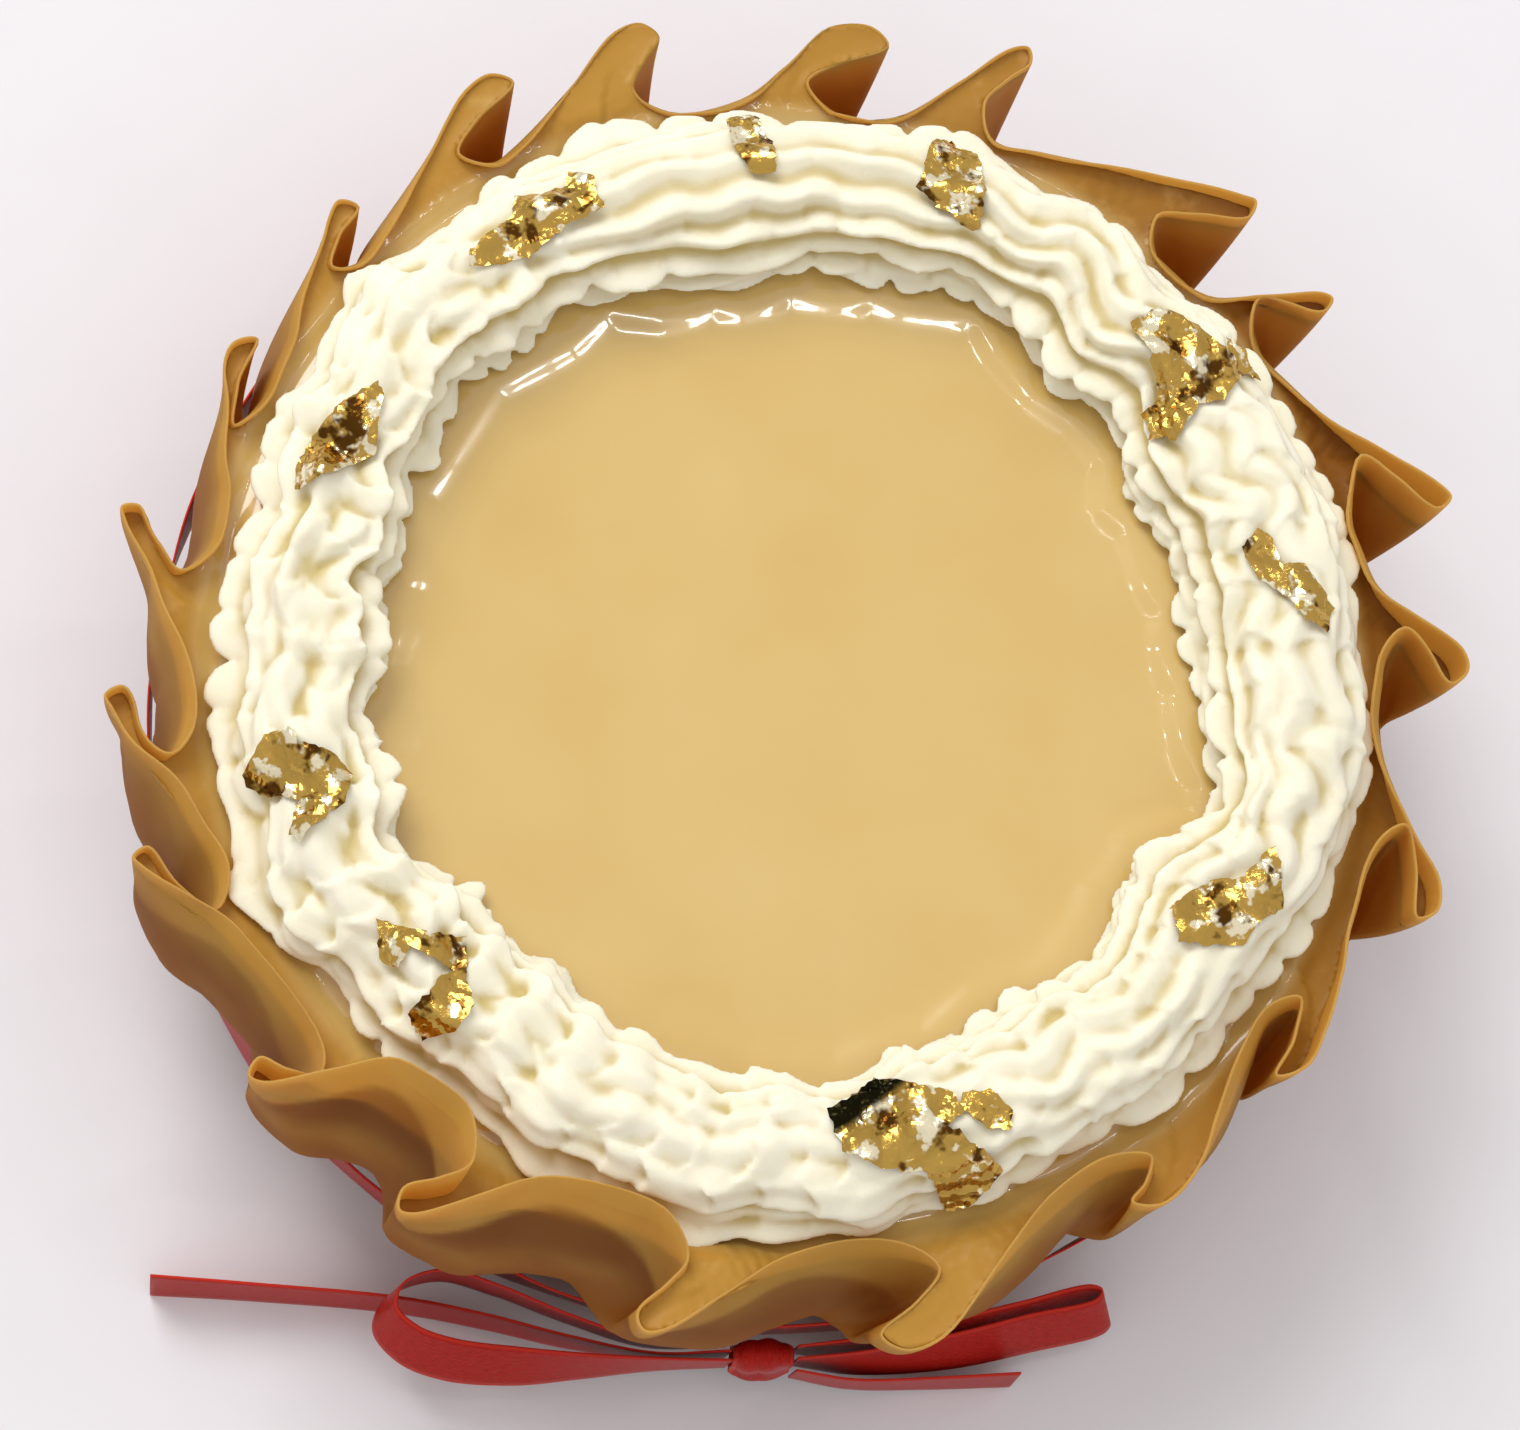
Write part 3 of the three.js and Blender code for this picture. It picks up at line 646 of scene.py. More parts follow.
# Points are close together where the caramel bends: by the cream and in the folds.
scatter = np.vstack([
    rings_of_points(0.1, 52, 2.0), rings_of_points(52, 66, 0.6), rings_of_points(66.5, 82, 1.6),
    rings_of_points(82, 106, 0.7),
])
scatter = scatter[inside_outline(scatter, outline)]
scatter = scatter[nearest(scatter, outline)[1] > 0.45]
places, triangles = fill_outline(outline, scatter)
print("caramel:", len(places), "points,", len(triangles), "triangles")

# %% The caramel's level
disc_sinks = 0.45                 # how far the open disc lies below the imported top
below_edge = 0.3                  # how far it lies below its own edge in the folds
cream_climb, climb_reach = 0.95, 4.2            # how far it climbs at the cream, and over what width
paper_climb, paper_reach = 0.5, 0.8             # the same at the paper
radius = radius_of(places)
compass = compass_of(places)
by_paper, to_paper = nearest(places, outline)
to_cream = inner_scallops(compass) - radius
climb = np.where(to_cream > 0, cream_climb * np.exp(-(to_cream / climb_reach) ** 2), cream_climb)
level = caramel_top - disc_sinks + climb * (1 - ease(radius, 80, 84)) + edge_rise * ease(radius, 84, 87)
level = mix(level, edge_height[by_paper] - below_edge, ease(radius, 85, 90))
level += paper_climb * np.exp(-to_paper / paper_reach) * (radius > 80)
flat = np.column_stack([places, 0 * radius])
level += 0.10 * ripples(flat, 38, 11) + 0.04 * ripples(flat, 12, 12)
level += 0.04 * ripples(flat, 5, 13) * ease(radius, 84, 88)
top = np.column_stack([places, level])
print("caramel's disc lies", round(float(np.median(level)), 1), "mm up")

# %% [markdown]
# The finish: a pale milk caramel glaze, poured warm and set to a smooth skin. It is glossy enough to
# mirror the lamps as thin white lines where it climbs to the cream. Over the folds it is only a film,
# duller, and the brown paper shows through as amber. So there are two Principled shaders, the glaze and
# the film, and attributes of the mesh say where it has run out and where, towards the right, its amber
# is painted darker as painted shade.
# Stray specks of burnt sugar, about 0.3 mm, are drawn at 0.6 mm so that they show.

# %% Finish: poured milk caramel
def poured_milk_caramel():
    material, tree, place = start_material("poured_milk_caramel_glaze")
    clouds = add_node(tree, "ShaderNodeTexNoise", {}, {
        "Vector": place.outputs["Object"], "Scale": per_metre(26.32), "Detail": 3.0,
        "Roughness": 0.45})
    colour = add_node(tree, "ShaderNodeMix", {"data_type": "RGBA"}, {
        0: clouds.outputs["Fac"], 6: linear("#cdaa5d"), 7: linear("#d9bb77")})
    cells = add_node(tree, "ShaderNodeTexVoronoi", {}, {
        "Vector": place.outputs["Object"], "Scale": per_metre(9.09)})
    rare = add_node(tree, "ShaderNodeSeparateColor", {}, {0: cells.outputs["Color"]})
    chosen = add_node(tree, "ShaderNodeMath", {"operation": "GREATER_THAN"}, {
        0: rare.outputs[0], 1: 0.93})
    near = add_node(tree, "ShaderNodeMath", {"operation": "LESS_THAN"}, {
        0: cells.outputs["Distance"], 1: 0.035})
    speck = add_node(tree, "ShaderNodeMath", {"operation": "MULTIPLY"}, {
        0: chosen.outputs["Value"], 1: near.outputs["Value"]})
    speck = add_node(tree, "ShaderNodeMath", {"operation": "MULTIPLY"}, {
        0: speck.outputs["Value"], 1: 0.6})
    colour = add_node(tree, "ShaderNodeMix", {"data_type": "RGBA"}, {
        0: speck.outputs["Value"], 6: colour.outputs[2], 7: linear("#7d5a2c")})
    run_out = add_node(tree, "ShaderNodeAttribute", {"attribute_name": "run_out"})
    # Painted shade: towards the right the amber is painted darker brown.
    sunk_and_painted_shade = add_node(tree, "ShaderNodeAttribute", {"attribute_name": "sunk_and_painted_shade"})
    amber = add_node(tree, "ShaderNodeMix", {"data_type": "RGBA"}, {
        0: sunk_and_painted_shade.outputs["Fac"], 6: linear("#b48636"), 7: linear("#82521e")})
    smears = add_node(tree, "ShaderNodeTexNoise", {}, {
        "Vector": place.outputs["Object"], "Scale": per_metre(6.25), "Detail": 3.0,
        "Roughness": 0.6})
    milky = add_node(tree, "ShaderNodeMapRange", {"interpolation_type": "SMOOTHSTEP"}, {
        "Value": smears.outputs["Fac"], "From Min": 0.56, "From Max": 0.76, "To Max": 0.3})
    amber = add_node(tree, "ShaderNodeMix", {"data_type": "RGBA"}, {
        0: milky.outputs["Result"], 6: amber.outputs[2], 7: linear("#d2ae6c")})
    colour = add_node(tree, "ShaderNodeMix", {"data_type": "RGBA"}, {
        0: run_out.outputs["Fac"], 6: colour.outputs[2], 7: amber.outputs[2]})
    glaze = add_node(tree, "ShaderNodeBsdfPrincipled", {}, {
        "Base Color": colour.outputs[2], "Roughness": 0.14, "IOR": 1.47, "Coat Weight": 0.8,
        "Coat Roughness": 0.03, "Coat IOR": 1.5})
    film = add_node(tree, "ShaderNodeBsdfPrincipled", {}, {
        "Base Color": colour.outputs[2], "Roughness": 0.4, "IOR": 1.47, "Specular IOR Level": 0.15})
    shader = add_node(tree, "ShaderNodeMixShader", {}, {
        0: run_out.outputs["Fac"], 1: glaze.outputs["BSDF"], 2: film.outputs["BSDF"]})
    add_node(tree, "ShaderNodeOutputMaterial", {}, {"Surface": shader.outputs["Shader"]})
    return material


# %% The caramel as one piece: its top, the same again below it, and a wall between them
disc_thickness = 3.0
film_thickness = 0.9
thickness = mix(disc_thickness, film_thickness, ease(radius, 80, 86))
bottom = top - np.column_stack([0 * radius, 0 * radius, thickness])
count = len(outline)
start = len(top)
faces = triangles + [tuple(start + i for i in reversed(face)) for face in triangles]
faces += [(i, start + i, start + (i + 1) % count, (i + 1) % count) for i in range(count)]
glaze = make_piece("poured_caramel", np.vstack([top, bottom]), faces, poured_milk_caramel())
face_outward(glaze)
mark_points(glaze, "run_out", np.tile(ease(radius, 84.5, 89), 2))
# Painted shade: darker amber round the right side, set by compass angle alone.
mark_points(glaze, "sunk_and_painted_shade", np.tile(0.9 * bell(compass, 68, 48), 2))
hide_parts("caramel_top")
print("caramel sunk by up to", round(float(sunk_in_folds(compass, radius).max()), 1), "mm")

# %% [markdown]
# ## The piped cream
# Whipped cream from a star nozzle keeps the nozzle's teeth as ridges, and the teeth at its sides
# pull out into thin frilled fins. At the back the cook drew the bag steadily, so the ridges run on;
# on the left and at the front the bag was pumped, and every pulse pushed a lump out over the last.
# Sculpting that by hand would never repeat, so we sweep a star section round the cake, give each
# tooth its own frill, add the lumps, and let a voxel remesh fuse it all into one skin, as cream does.
# First we say where round the ring the bag was worked in which way, and how much of each kind of
# relief that gave.

# %% How the bag was worked, going round
cream_columns = 1440
section_steps = 192
cream_angle = (np.arange(cream_columns) / cream_columns * 360)[:, None]
section_turn = (np.arange(section_steps) / section_steps * 360)[None, :]
a = np.radians(cream_angle)       # a short name, because every wave round the ring needs it


def stretch(start, end, blend=9):
    """1 between two compass angles, going clockwise, 0 elsewhere, with soft ends."""
    long = (end - start) % 360
    past = (cream_angle - start + blend) % 360 - blend
    return ease(past, -blend, blend) * (1 - ease(past, long - blend, long + blend))


steady = stretch(328, 24)         # drawn evenly: long ridges
waved = stretch(24, 58)           # drawn with a shake: ridges that snake
sloped = stretch(58, 165)         # short strokes over each other
pumped = stretch(215, 328)        # lumps
spiked = stretch(165, 215)        # lumps and pulled-out points
strengths = {                     # steady, waved, sloped, pumped, spiked
    "ridges": (1.15, 1.2, 1.25, 0.25, 0.45),
    "small domes": (0, 0, 0.3, 1.7, 1.5),
    "long domes": (0.5, 0.5, 0.5, 0, 0),
    "tiles": (0.35, 0.8, 1.2, 1.5, 1.6),
    "dimples": (0, 0.6, 0.45, 1.0, 0.6),
}


def strength(relief):
    """How strong one kind of relief is at every cream angle."""
    worked = (steady, waved, sloped, pumped, spiked)
    return sum(amount * here for amount, here in zip(strengths[relief], worked))


print("ridges are strongest at", int(np.argmax(strength("ridges"))) * 360 // cream_columns, "degrees")


# %% Lumps and tiles
most_rows = 64                    # more rows of lumps than the section has room for
first_row = 20                    # the row that lies outward, so that no row's number is below 0


def cell_domes(along, across, length, width, seed):
    """Domes of about `length` by `width` mm that meet in creases: 1 on a top, 0 in a crease."""
    rows = round(2 * np.pi * cream_middle / length)
    random = np.random.default_rng(seed)
    jitter = random.uniform(0.12, 0.88, (rows, most_rows, 2))
    x = along / (2 * np.pi * cream_middle) * rows
    y = across / width + first_row
    x_cell = np.floor(x).astype(int)
    y_cell = np.floor(y).astype(int)
    from_spot = np.full(np.broadcast(x, y).shape, 9.0)
    for i in (-1, 0, 1):
        for j in (-1, 0, 1):
            spot = jitter[(x_cell + i) % rows, (y_cell + j) % most_rows]
            dx = x_cell + i + spot[..., 0] - x
            dy = y_cell + j + spot[..., 1] - y
            from_spot = np.minimum(from_spot, dx * dx + dy * dy)
    return 1 - np.minimum(from_spot / 0.6, 1)


def shells(along, across, length, width, seed):
    """Rows of shells that overlap like tiles: each swells along the ring, then drops sharply."""
    count = round(2 * np.pi * cream_middle / length)
    random = np.random.default_rng(seed)
    y = across / width + first_row
    row = np.floor(y).astype(int) % most_rows
    off_middle = (2 * (y - np.floor(y)) - 1) ** 2   # 0 along the middle of a row, 1 at its sides
    x = along / (2 * np.pi * cream_middle) * count + random.uniform(0, 1, most_rows)[row]
    x = x - 0.35 * off_middle + 0.35 * np.sin(7 * a + row) + 0.2 * np.sin(19 * a + 2 * row)
    size = random.uniform(0.6, 1.2, (most_rows, count))[row, np.floor(x).astype(int) % count]
    return size * (x - np.floor(x)) ** 0.8 * np.sqrt(1 - 0.85 * off_middle) - 0.35


def wandering(edge):
    """The wander as a smooth curve at every cream angle: its mean over seven degrees."""
    angles, amounts = np.array(edge).T
    beside = np.linspace(-3.5, 3.5, 9)
    return np.interp((cream_angle + beside) % 360, angles, amounts).mean(axis=1, keepdims=True)


# %% [markdown]
# A star nozzle with seven teeth drew the rope. It stands on a flat foot, where the first of the
# cream spread out under its own weight. A frill is a tooth whose reach goes up and down along the
# ring. A low power of a sine is steep only near 0, so it gives round lobes with narrow notches.

# %% The nozzle's teeth
# For each tooth: its place on the section in degrees, 0 outward, 90 up and 180 inward; how wide it
# is; how far it stands out, mm; how much of that its frill takes; and the frill's length, mm.
rope_teeth = (
    (-14, 9, 2.6, 0.9, 8.0), (14, 10, 2.2, 0.7, 12.0), (46, 11, 1.8, 0.45, 14.0),
    (83, 11, 1.8, 0.45, 17.0), (117, 10, 2.0, 0.5, 13.0), (144, 8, 3.2, 0.6, 11.0),
    (174, 8, 4.4, 0.75, 9.0),
)
base_teeth = (
    (8, 14, 3.0, 0.9, 7.0), (40, 14, 1.4, 0.7, 10.0), (140, 12, 1.6, 0.7, 10.0),
    (163, 9, 2.8, 0.9, 8.0), (180, 8, 3.4, 0.9, 7.0),
)


def frill(length, seed, pointed):
    """A frilled edge along the ring: round lobes with narrow notches, or points where pointed."""
    random = np.random.default_rng(seed)
    lobes = round(2 * np.pi * cream_middle / length)
    phase = lobes * a
    for waves, size in ((3, 2.5), (7, 1.8), (13, 1.0)):
        phase = phase + size * np.sin(waves * a + random.uniform(0, 6))
    phase = phase + 0.5 * np.sin(phase)
    round_lobes = np.abs(np.sin(phase / 2)) ** 0.45
    points = 1.25 * (1 - np.abs(np.sin(phase / 2))) ** 1.2
    uneven = 0.8
    for waves in (5, 17):
        uneven = uneven + 0.3 * np.sin(waves * a + random.uniform(0, 6))
    return mix(round_lobes, points, pointed) * uneven


def snaking_turn():
    """Where on the section each point counts as being, in degrees, so that the ridges snake."""
    uneven_waves = np.sin(27 * a + 1.0 + 2.2 * np.sin(4 * a) + 1.3 * np.sin(9 * a + 2))
    snake = 4 * np.sin(9 * a + 2) + waved * 12 * np.sin(23 * a + 0.6) + steady * 2 * np.sin(14 * a)
    snake = snake + (pumped + sloped) * 9 * uneven_waves + sloped * 7 * np.sin(11 * a + np.sin(6 * a))
    snake = snake + steady * 3 * np.sin(31 * a + 2 * np.sin(5 * a))
    return section_turn + snake * np.abs(np.sin(np.radians(section_turn)))


def reach_of_teeth(teeth, seed):
    """How far the teeth with their frills stand out, mm: a row of numbers for each cream angle."""
    random = np.random.default_rng(seed)
    turn = snaking_turn()
    reach = np.zeros((cream_columns, section_steps))
    for k, (middle, width, depth, share, length) in enumerate(teeth):
        on_side = abs(middle - 90) > 50
        pointed = spiked * (0.35 if on_side else 0.2)
        lobes = frill(length, seed * 10 + k, pointed)
        if middle > 90:               # the frills on the inside are longer where the bag was steady
            lobes = mix(lobes, frill(1.7 * length, seed * 10 + k + 5, 0), steady)
        size = depth * (1.0 if on_side else strength("ridges"))
        drift = 2.5 * np.sin(11 * a + random.uniform(0, 6))
        broad = width * (1 + 0.35 * sloped * (not on_side))
        reach = reach + size * mix(1.0, lobes, share) * bell(turn, middle + drift, broad)
    return reach


print("teeth:", len(rope_teeth), "on the rope,", len(base_teeth), "on its foot")


# %% Sweeping the section round the ring
def sweep(middle_radius, middle_height, half_width, half_height, teeth, seed, lumps, inward_less=0):
    """A star section swept round the ring, with its frills and lumps, as a grid of points, mm."""
    outward = np.cos(np.radians(section_turn))
    upward = np.sin(np.radians(section_turn))
    along = a * cream_middle
    across = np.radians(section_turn) * (half_width + half_height) / 2
    # the domes go down by 0.4 in their creases, and stand out by 0.6 on top
    small = cell_domes(along, across, 8.5, 6.5, seed + 1) - 0.4
    long_ones = cell_domes(along, across, 24, 5.5, seed + 2) - 0.4
    tiles = shells(along, across, 8.0, 6.2, seed + 4)
    dimples = ease(cell_domes(along, across, 13, 7.5, seed + 3), 0.5, 0.95)
    raised = lumps * np.clip(upward + 0.55, 0, 1)
    more_at_sides = mix(0.5, 1.0, np.abs(outward))

    reach = reach_of_teeth(teeth, seed)
    reach = reach + raised * (small * strength("small domes") + long_ones * strength("long domes"))
    reach = reach + raised * more_at_sides * tiles * strength("tiles")
    reach = reach - raised * dimples * strength("dimples")

    pulses = pumped + spiked
    swell = 1 + 0.05 * pulses * np.sin(44 * a + 0.8 * np.sin(5 * a) + 0.9 * outward)
    wobble = pulses * 0.9 * np.sin(21 * a + 1) + 0.5 * np.sin(6 * a) + 0.7 * waved * np.sin(23 * a)
    radius = middle_radius + wobble + (half_width * swell + reach) * outward
    radius = radius + wandering(outer_edge) * np.maximum(outward, 0)
    radius = radius + (wandering(inner_edge) + inward_less) * np.maximum(-outward, 0)
    height = middle_height + (half_height * swell + reach) * upward
    return polar(cream_angle, radius, height)


# %% [markdown]
# The cream spills into the open folds but can't go through the paper. So we look outward from the
# cake's axis, at every angle and height, for where the paper's inner face is, and pull back what
# would go past it. A Boolean would cut the cream off sharply there, and real cream is pressed flat.

# %% The paper holds the cream in
paper_tree = BVHTree.FromPolygons([v.co.copy() for v in paper.data.vertices],
                                  [tuple(p.vertices) for p in paper.data.polygons])
looks_round = 720
look_heights = np.arange(54.0, 72.0, 1.0)
far_away = 200.0                  # where no paper is hit, mm
paper_gap = 0.5
paper_wall = np.full((looks_round, len(look_heights)), far_away)
for i in range(looks_round):
    outward_look = Vector(polar(i * 360 / looks_round, 1.0, 0.0).tolist())
    for j, look_height in enumerate(look_heights):
        hit, *_ = paper_tree.ray_cast(Vector((0, 0, look_height * MM)), outward_look)
        if hit:
            paper_wall[i, j] = math.hypot(hit.x, hit.y) / MM
print("paper's inner face: from", round(paper_wall.min(), 1), "mm")


def hold_in(points):
    """Pulls points back inside the paper."""
    i = np.round(compass_of(points) % 360 / 360 * looks_round).astype(int) % looks_round
    j = np.clip(np.round(points[..., 2] - look_heights[0]).astype(int), 0, len(look_heights) - 1)
    nearest_wall = np.minimum(np.minimum(paper_wall[i, j], paper_wall[i - 1, j]),
                              paper_wall[(i + 1) % looks_round, j])
    nearest_wall = np.minimum(nearest_wall, paper_wall[i, np.maximum(j - 1, 0)])
    share = np.minimum(1, (nearest_wall - paper_gap) / np.maximum(radius_of(points), 1))
    points[..., :2] *= share[..., None]
    return points


# %% Piping: a flat foot, and the rope on it
foot_sinks = 0.4                  # into the caramel, so that no gap shows
# Where the foot spills outward: compass angle, spread in degrees, and how far, mm.
spills = ((340, 4, 3.6), (18, 5, 3.6), (195, 8, 2.2), (275, 30, 1.6), (247, 6, 2.0), (75, 14, 1.0))
spill = sum(far * bell(cream_angle, middle, spread) for middle, spread, far in spills)
foot_strand = sweep(
    middle_radius=72.4 + spill / 2, middle_height=57.2, half_width=10.6 + spill / 2,
    half_height=2.5, teeth=base_teeth, seed=9, lumps=0.4, inward_less=1.6)
rope = sweep(
    middle_radius=72.9, middle_height=61.0, half_width=7.8,
    half_height=6.3, teeth=rope_teeth, seed=5, lumps=1.0)
strands = [hold_in(rope), hold_in(foot_strand)]
points = np.vstack([strand.reshape(-1, 3) for strand in strands])
points[:, 2] = np.maximum(points[:, 2], cream_foot - foot_sinks)
faces = []
for k in range(len(strands)):
    faces += grid_faces(cream_columns, section_steps, True, True, k * cream_columns * section_steps)
print("cream before fusing:", len(points), "points")

# %% [markdown]
# The finish: whipped cream with about 35 percent fat. It is off-white with a warm, yellow shade in
# its valleys, because light goes some millimetres deep and bounces there, and its skin is matt with
# a soft sheen. Subsurface light alone leaves the valleys too grey here, so an attribute of the mesh
# says where they are. The bubbles, under 0.1 mm, are too fine to show and are drawn at 0.7 mm.

# %% Finish: whipped cream
def whipped_cream():
    material, tree, place = start_material("whipped_dairy_cream")
    airy = add_node(tree, "ShaderNodeTexNoise", {}, {
        "Vector": place.outputs["Object"], "Scale": per_metre(7.69), "Detail": 3.0})
    colour = add_node(tree, "ShaderNodeMix", {"data_type": "RGBA"}, {
        0: airy.outputs["Fac"], 6: linear("#f1ebce"), 7: linear("#f7f3e0")})
    valley = add_node(tree, "ShaderNodeAttribute", {"attribute_name": "valley"})
    colour = add_node(tree, "ShaderNodeMix", {"data_type": "RGBA"}, {
        0: valley.outputs["Fac"], 6: colour.outputs[2], 7: linear("#cdb878")})
    bubbles = add_node(tree, "ShaderNodeTexNoise", {}, {
        "Vector": place.outputs["Object"], "Scale": per_metre(0.7143), "Detail": 3.0})
    bump = add_node(tree, "ShaderNodeBump", {}, {
        "Height": bubbles.outputs["Fac"], "Strength": 0.12, "Distance": 0.0003})
    shader = add_node(tree, "ShaderNodeBsdfPrincipled", {}, {
        "Base Color": colour.outputs[2], "Roughness": 0.5, "IOR": 1.42,
        "Subsurface Weight": 0.3, "Subsurface Radius": (1.0, 0.75, 0.4),
        "Subsurface Scale": 0.0018, "Normal": bump.outputs["Normal"]})
    add_node(tree, "ShaderNodeOutputMaterial", {}, {"Surface": shader.outputs["BSDF"]})
    return material


# %% [markdown]
# Blender's voxel remesh gives the foot and the rope one skin, and a Smooth modifier takes off its
# steps. A valley is where that skin lies under a smoothed copy of itself. Last, a Decimate modifier
# thins the mesh, because a piece should stay under 200,000 triangles: it takes more from the smooth
# parts than from the creases.

# %% Fusing the strands
def apply_modifiers(piece):
    """Swaps the piece's mesh for what its modifiers make of it, and takes them off."""
    graph = bpy.context.evaluated_depsgraph_get()
    made = bpy.data.meshes.new_from_object(piece.evaluated_get(graph))
    piece.modifiers.clear()
    old = piece.data
    piece.data = made
    bpy.data.meshes.remove(old)
    return made


voxel = 0.45
cream = make_piece("piped_cream", points, faces, whipped_cream())
remesh = cream.modifiers.new("fuse", "REMESH")
remesh.mode = "VOXEL"
remesh.voxel_size = voxel * MM
remesh.use_smooth_shade = True
soften = cream.modifiers.new("soften", "SMOOTH")
soften.factor = 0.5
soften.iterations = 3
fused = apply_modifiers(cream)
print("cream after fusing:", len(fused.polygons), "faces")

# %% Where the valleys are
smoothing_rounds = round(12 / voxel ** 2)       # enough to smooth over the same width at any voxel
count = len(fused.vertices)
skin = np.empty(count * 3)
fused.vertices.foreach_get("co", skin)
skin = skin.reshape(-1, 3)
normals = np.empty(count * 3)
fused.vertex_normals.foreach_get("vector", normals)
edges = np.empty(len(fused.edges) * 2, int)
fused.edges.foreach_get("vertices", edges)
one, other = edges.reshape(-1, 2).T
neighbours = np.bincount(np.append(one, other), minlength=count)[:, None]
smoothed = skin
for _ in range(smoothing_rounds):
    sums = [np.bincount(one, smoothed[other, k], count) + np.bincount(other, smoothed[one, k], count)
            for k in range(3)]
    smoothed = np.stack(sums, -1) / neighbours
depth = np.sum((smoothed - skin) * normals.reshape(-1, 3), axis=1) / MM
mark_points(cream, "valley", ease(depth, -0.05, 0.75))
print("valley depth, mm: 5% under", round(float(np.quantile(depth, 0.95)), 2))

# %% Fewer faces
most_triangles = 194000
if 2 * len(fused.polygons) > most_triangles:
    thin_out = cream.modifiers.new("thin_out", "DECIMATE")
    thin_out.ratio = most_triangles / (2 * len(fused.polygons))
    fused = apply_modifiers(cream)
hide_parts("cream_border")
print("cream:", len(fused.polygons), "faces, box mm",
      [[round(v[i] / MM, 1) for i in range(3)] for v in (cream.bound_box[0], cream.bound_box[6])])

# %% [markdown]
# ## The gold leaf
# Gold leaf is beaten so thin that it crumples when a finger lays it down, and the scraps cling to
# whatever is under them. Each scrap is an outline of a few corners, filled with points and joined
# by the same triangulation as the caramel. A ray cast down finds the cream under every point, and
# folded waves, sharp at their crests, give the crumple. Flat shading lets each tiny face glint.
#
# The finish: gold beaten to a foil and crumpled, which mirrors light in one facet and dark in the next.
# The plain table gives it little to mirror, so light and dark patches of about 5 mm are painted into
# its colour, a painted reflection of a room. Fine creases of 4 mm break up the glints, and their crests
# are painted near white as painted glints. It is a metal, so it keeps the usual IOR.

# %% Finish: beaten gold leaf
def beaten_gold_leaf():
    material, tree, place = start_material("beaten_gold_leaf")
    creases = add_node(tree, "ShaderNodeTexNoise", {}, {
        "Vector": place.outputs["Object"], "Scale": per_metre(3.846), "Detail": 3.0,
        "Roughness": 0.55})
    patches = add_node(tree, "ShaderNodeTexNoise", {}, {
        "Vector": place.outputs["Object"], "Scale": per_metre(5.263), "Detail": 3.0,
        "Roughness": 0.6})
    # Painted reflection: patches of dark brown and light gold, as if a room were mirrored in the leaf.
    shade = add_node(tree, "ShaderNodeMapRange", {"interpolation_type": "SMOOTHSTEP"}, {
        "Value": patches.outputs["Fac"], "From Min": 0.37, "From Max": 0.46})
    # Painted glints: the crests of the creases are painted near white.
    painted_glints = add_node(tree, "ShaderNodeMapRange", {"interpolation_type": "SMOOTHSTEP"}, {
        "Value": creases.outputs["Fac"], "From Min": 0.55, "From Max": 0.61})
    light = add_node(tree, "ShaderNodeMix", {"data_type": "RGBA"}, {
        0: painted_glints.outputs["Result"], 6: linear("#c8a250"), 7: linear("#fff4d0")})
    colour = add_node(tree, "ShaderNodeMix", {"data_type": "RGBA"}, {
        0: shade.outputs["Result"], 6: linear("#5a3a12"), 7: light.outputs[2]})
    # Scrap 7 is painted near black towards one end.
    dark_end = add_node(tree, "ShaderNodeAttribute", {"attribute_name": "dark_end"})
    colour = add_node(tree, "ShaderNodeMix", {"data_type": "RGBA"}, {
        0: dark_end.outputs["Fac"], 6: colour.outputs[2], 7: linear("#1d1a0c")})
    bump = add_node(tree, "ShaderNodeBump", {}, {
        "Height": creases.outputs["Fac"], "Strength": 0.4, "Distance": 0.0006})
    rough = add_node(tree, "ShaderNodeMapRange", {}, {
        "Value": creases.outputs["Fac"], "To Min": 0.10, "To Max": 0.26})
    shader = add_node(tree, "ShaderNodeBsdfPrincipled", {}, {
        "Base Color": colour.outputs[2], "Metallic": 1.0, "Roughness": rough.outputs["Result"],
        "Normal": bump.outputs["Normal"]})
    add_node(tree, "ShaderNodeOutputMaterial", {}, {"Surface": shader.outputs["BSDF"]})
    return material


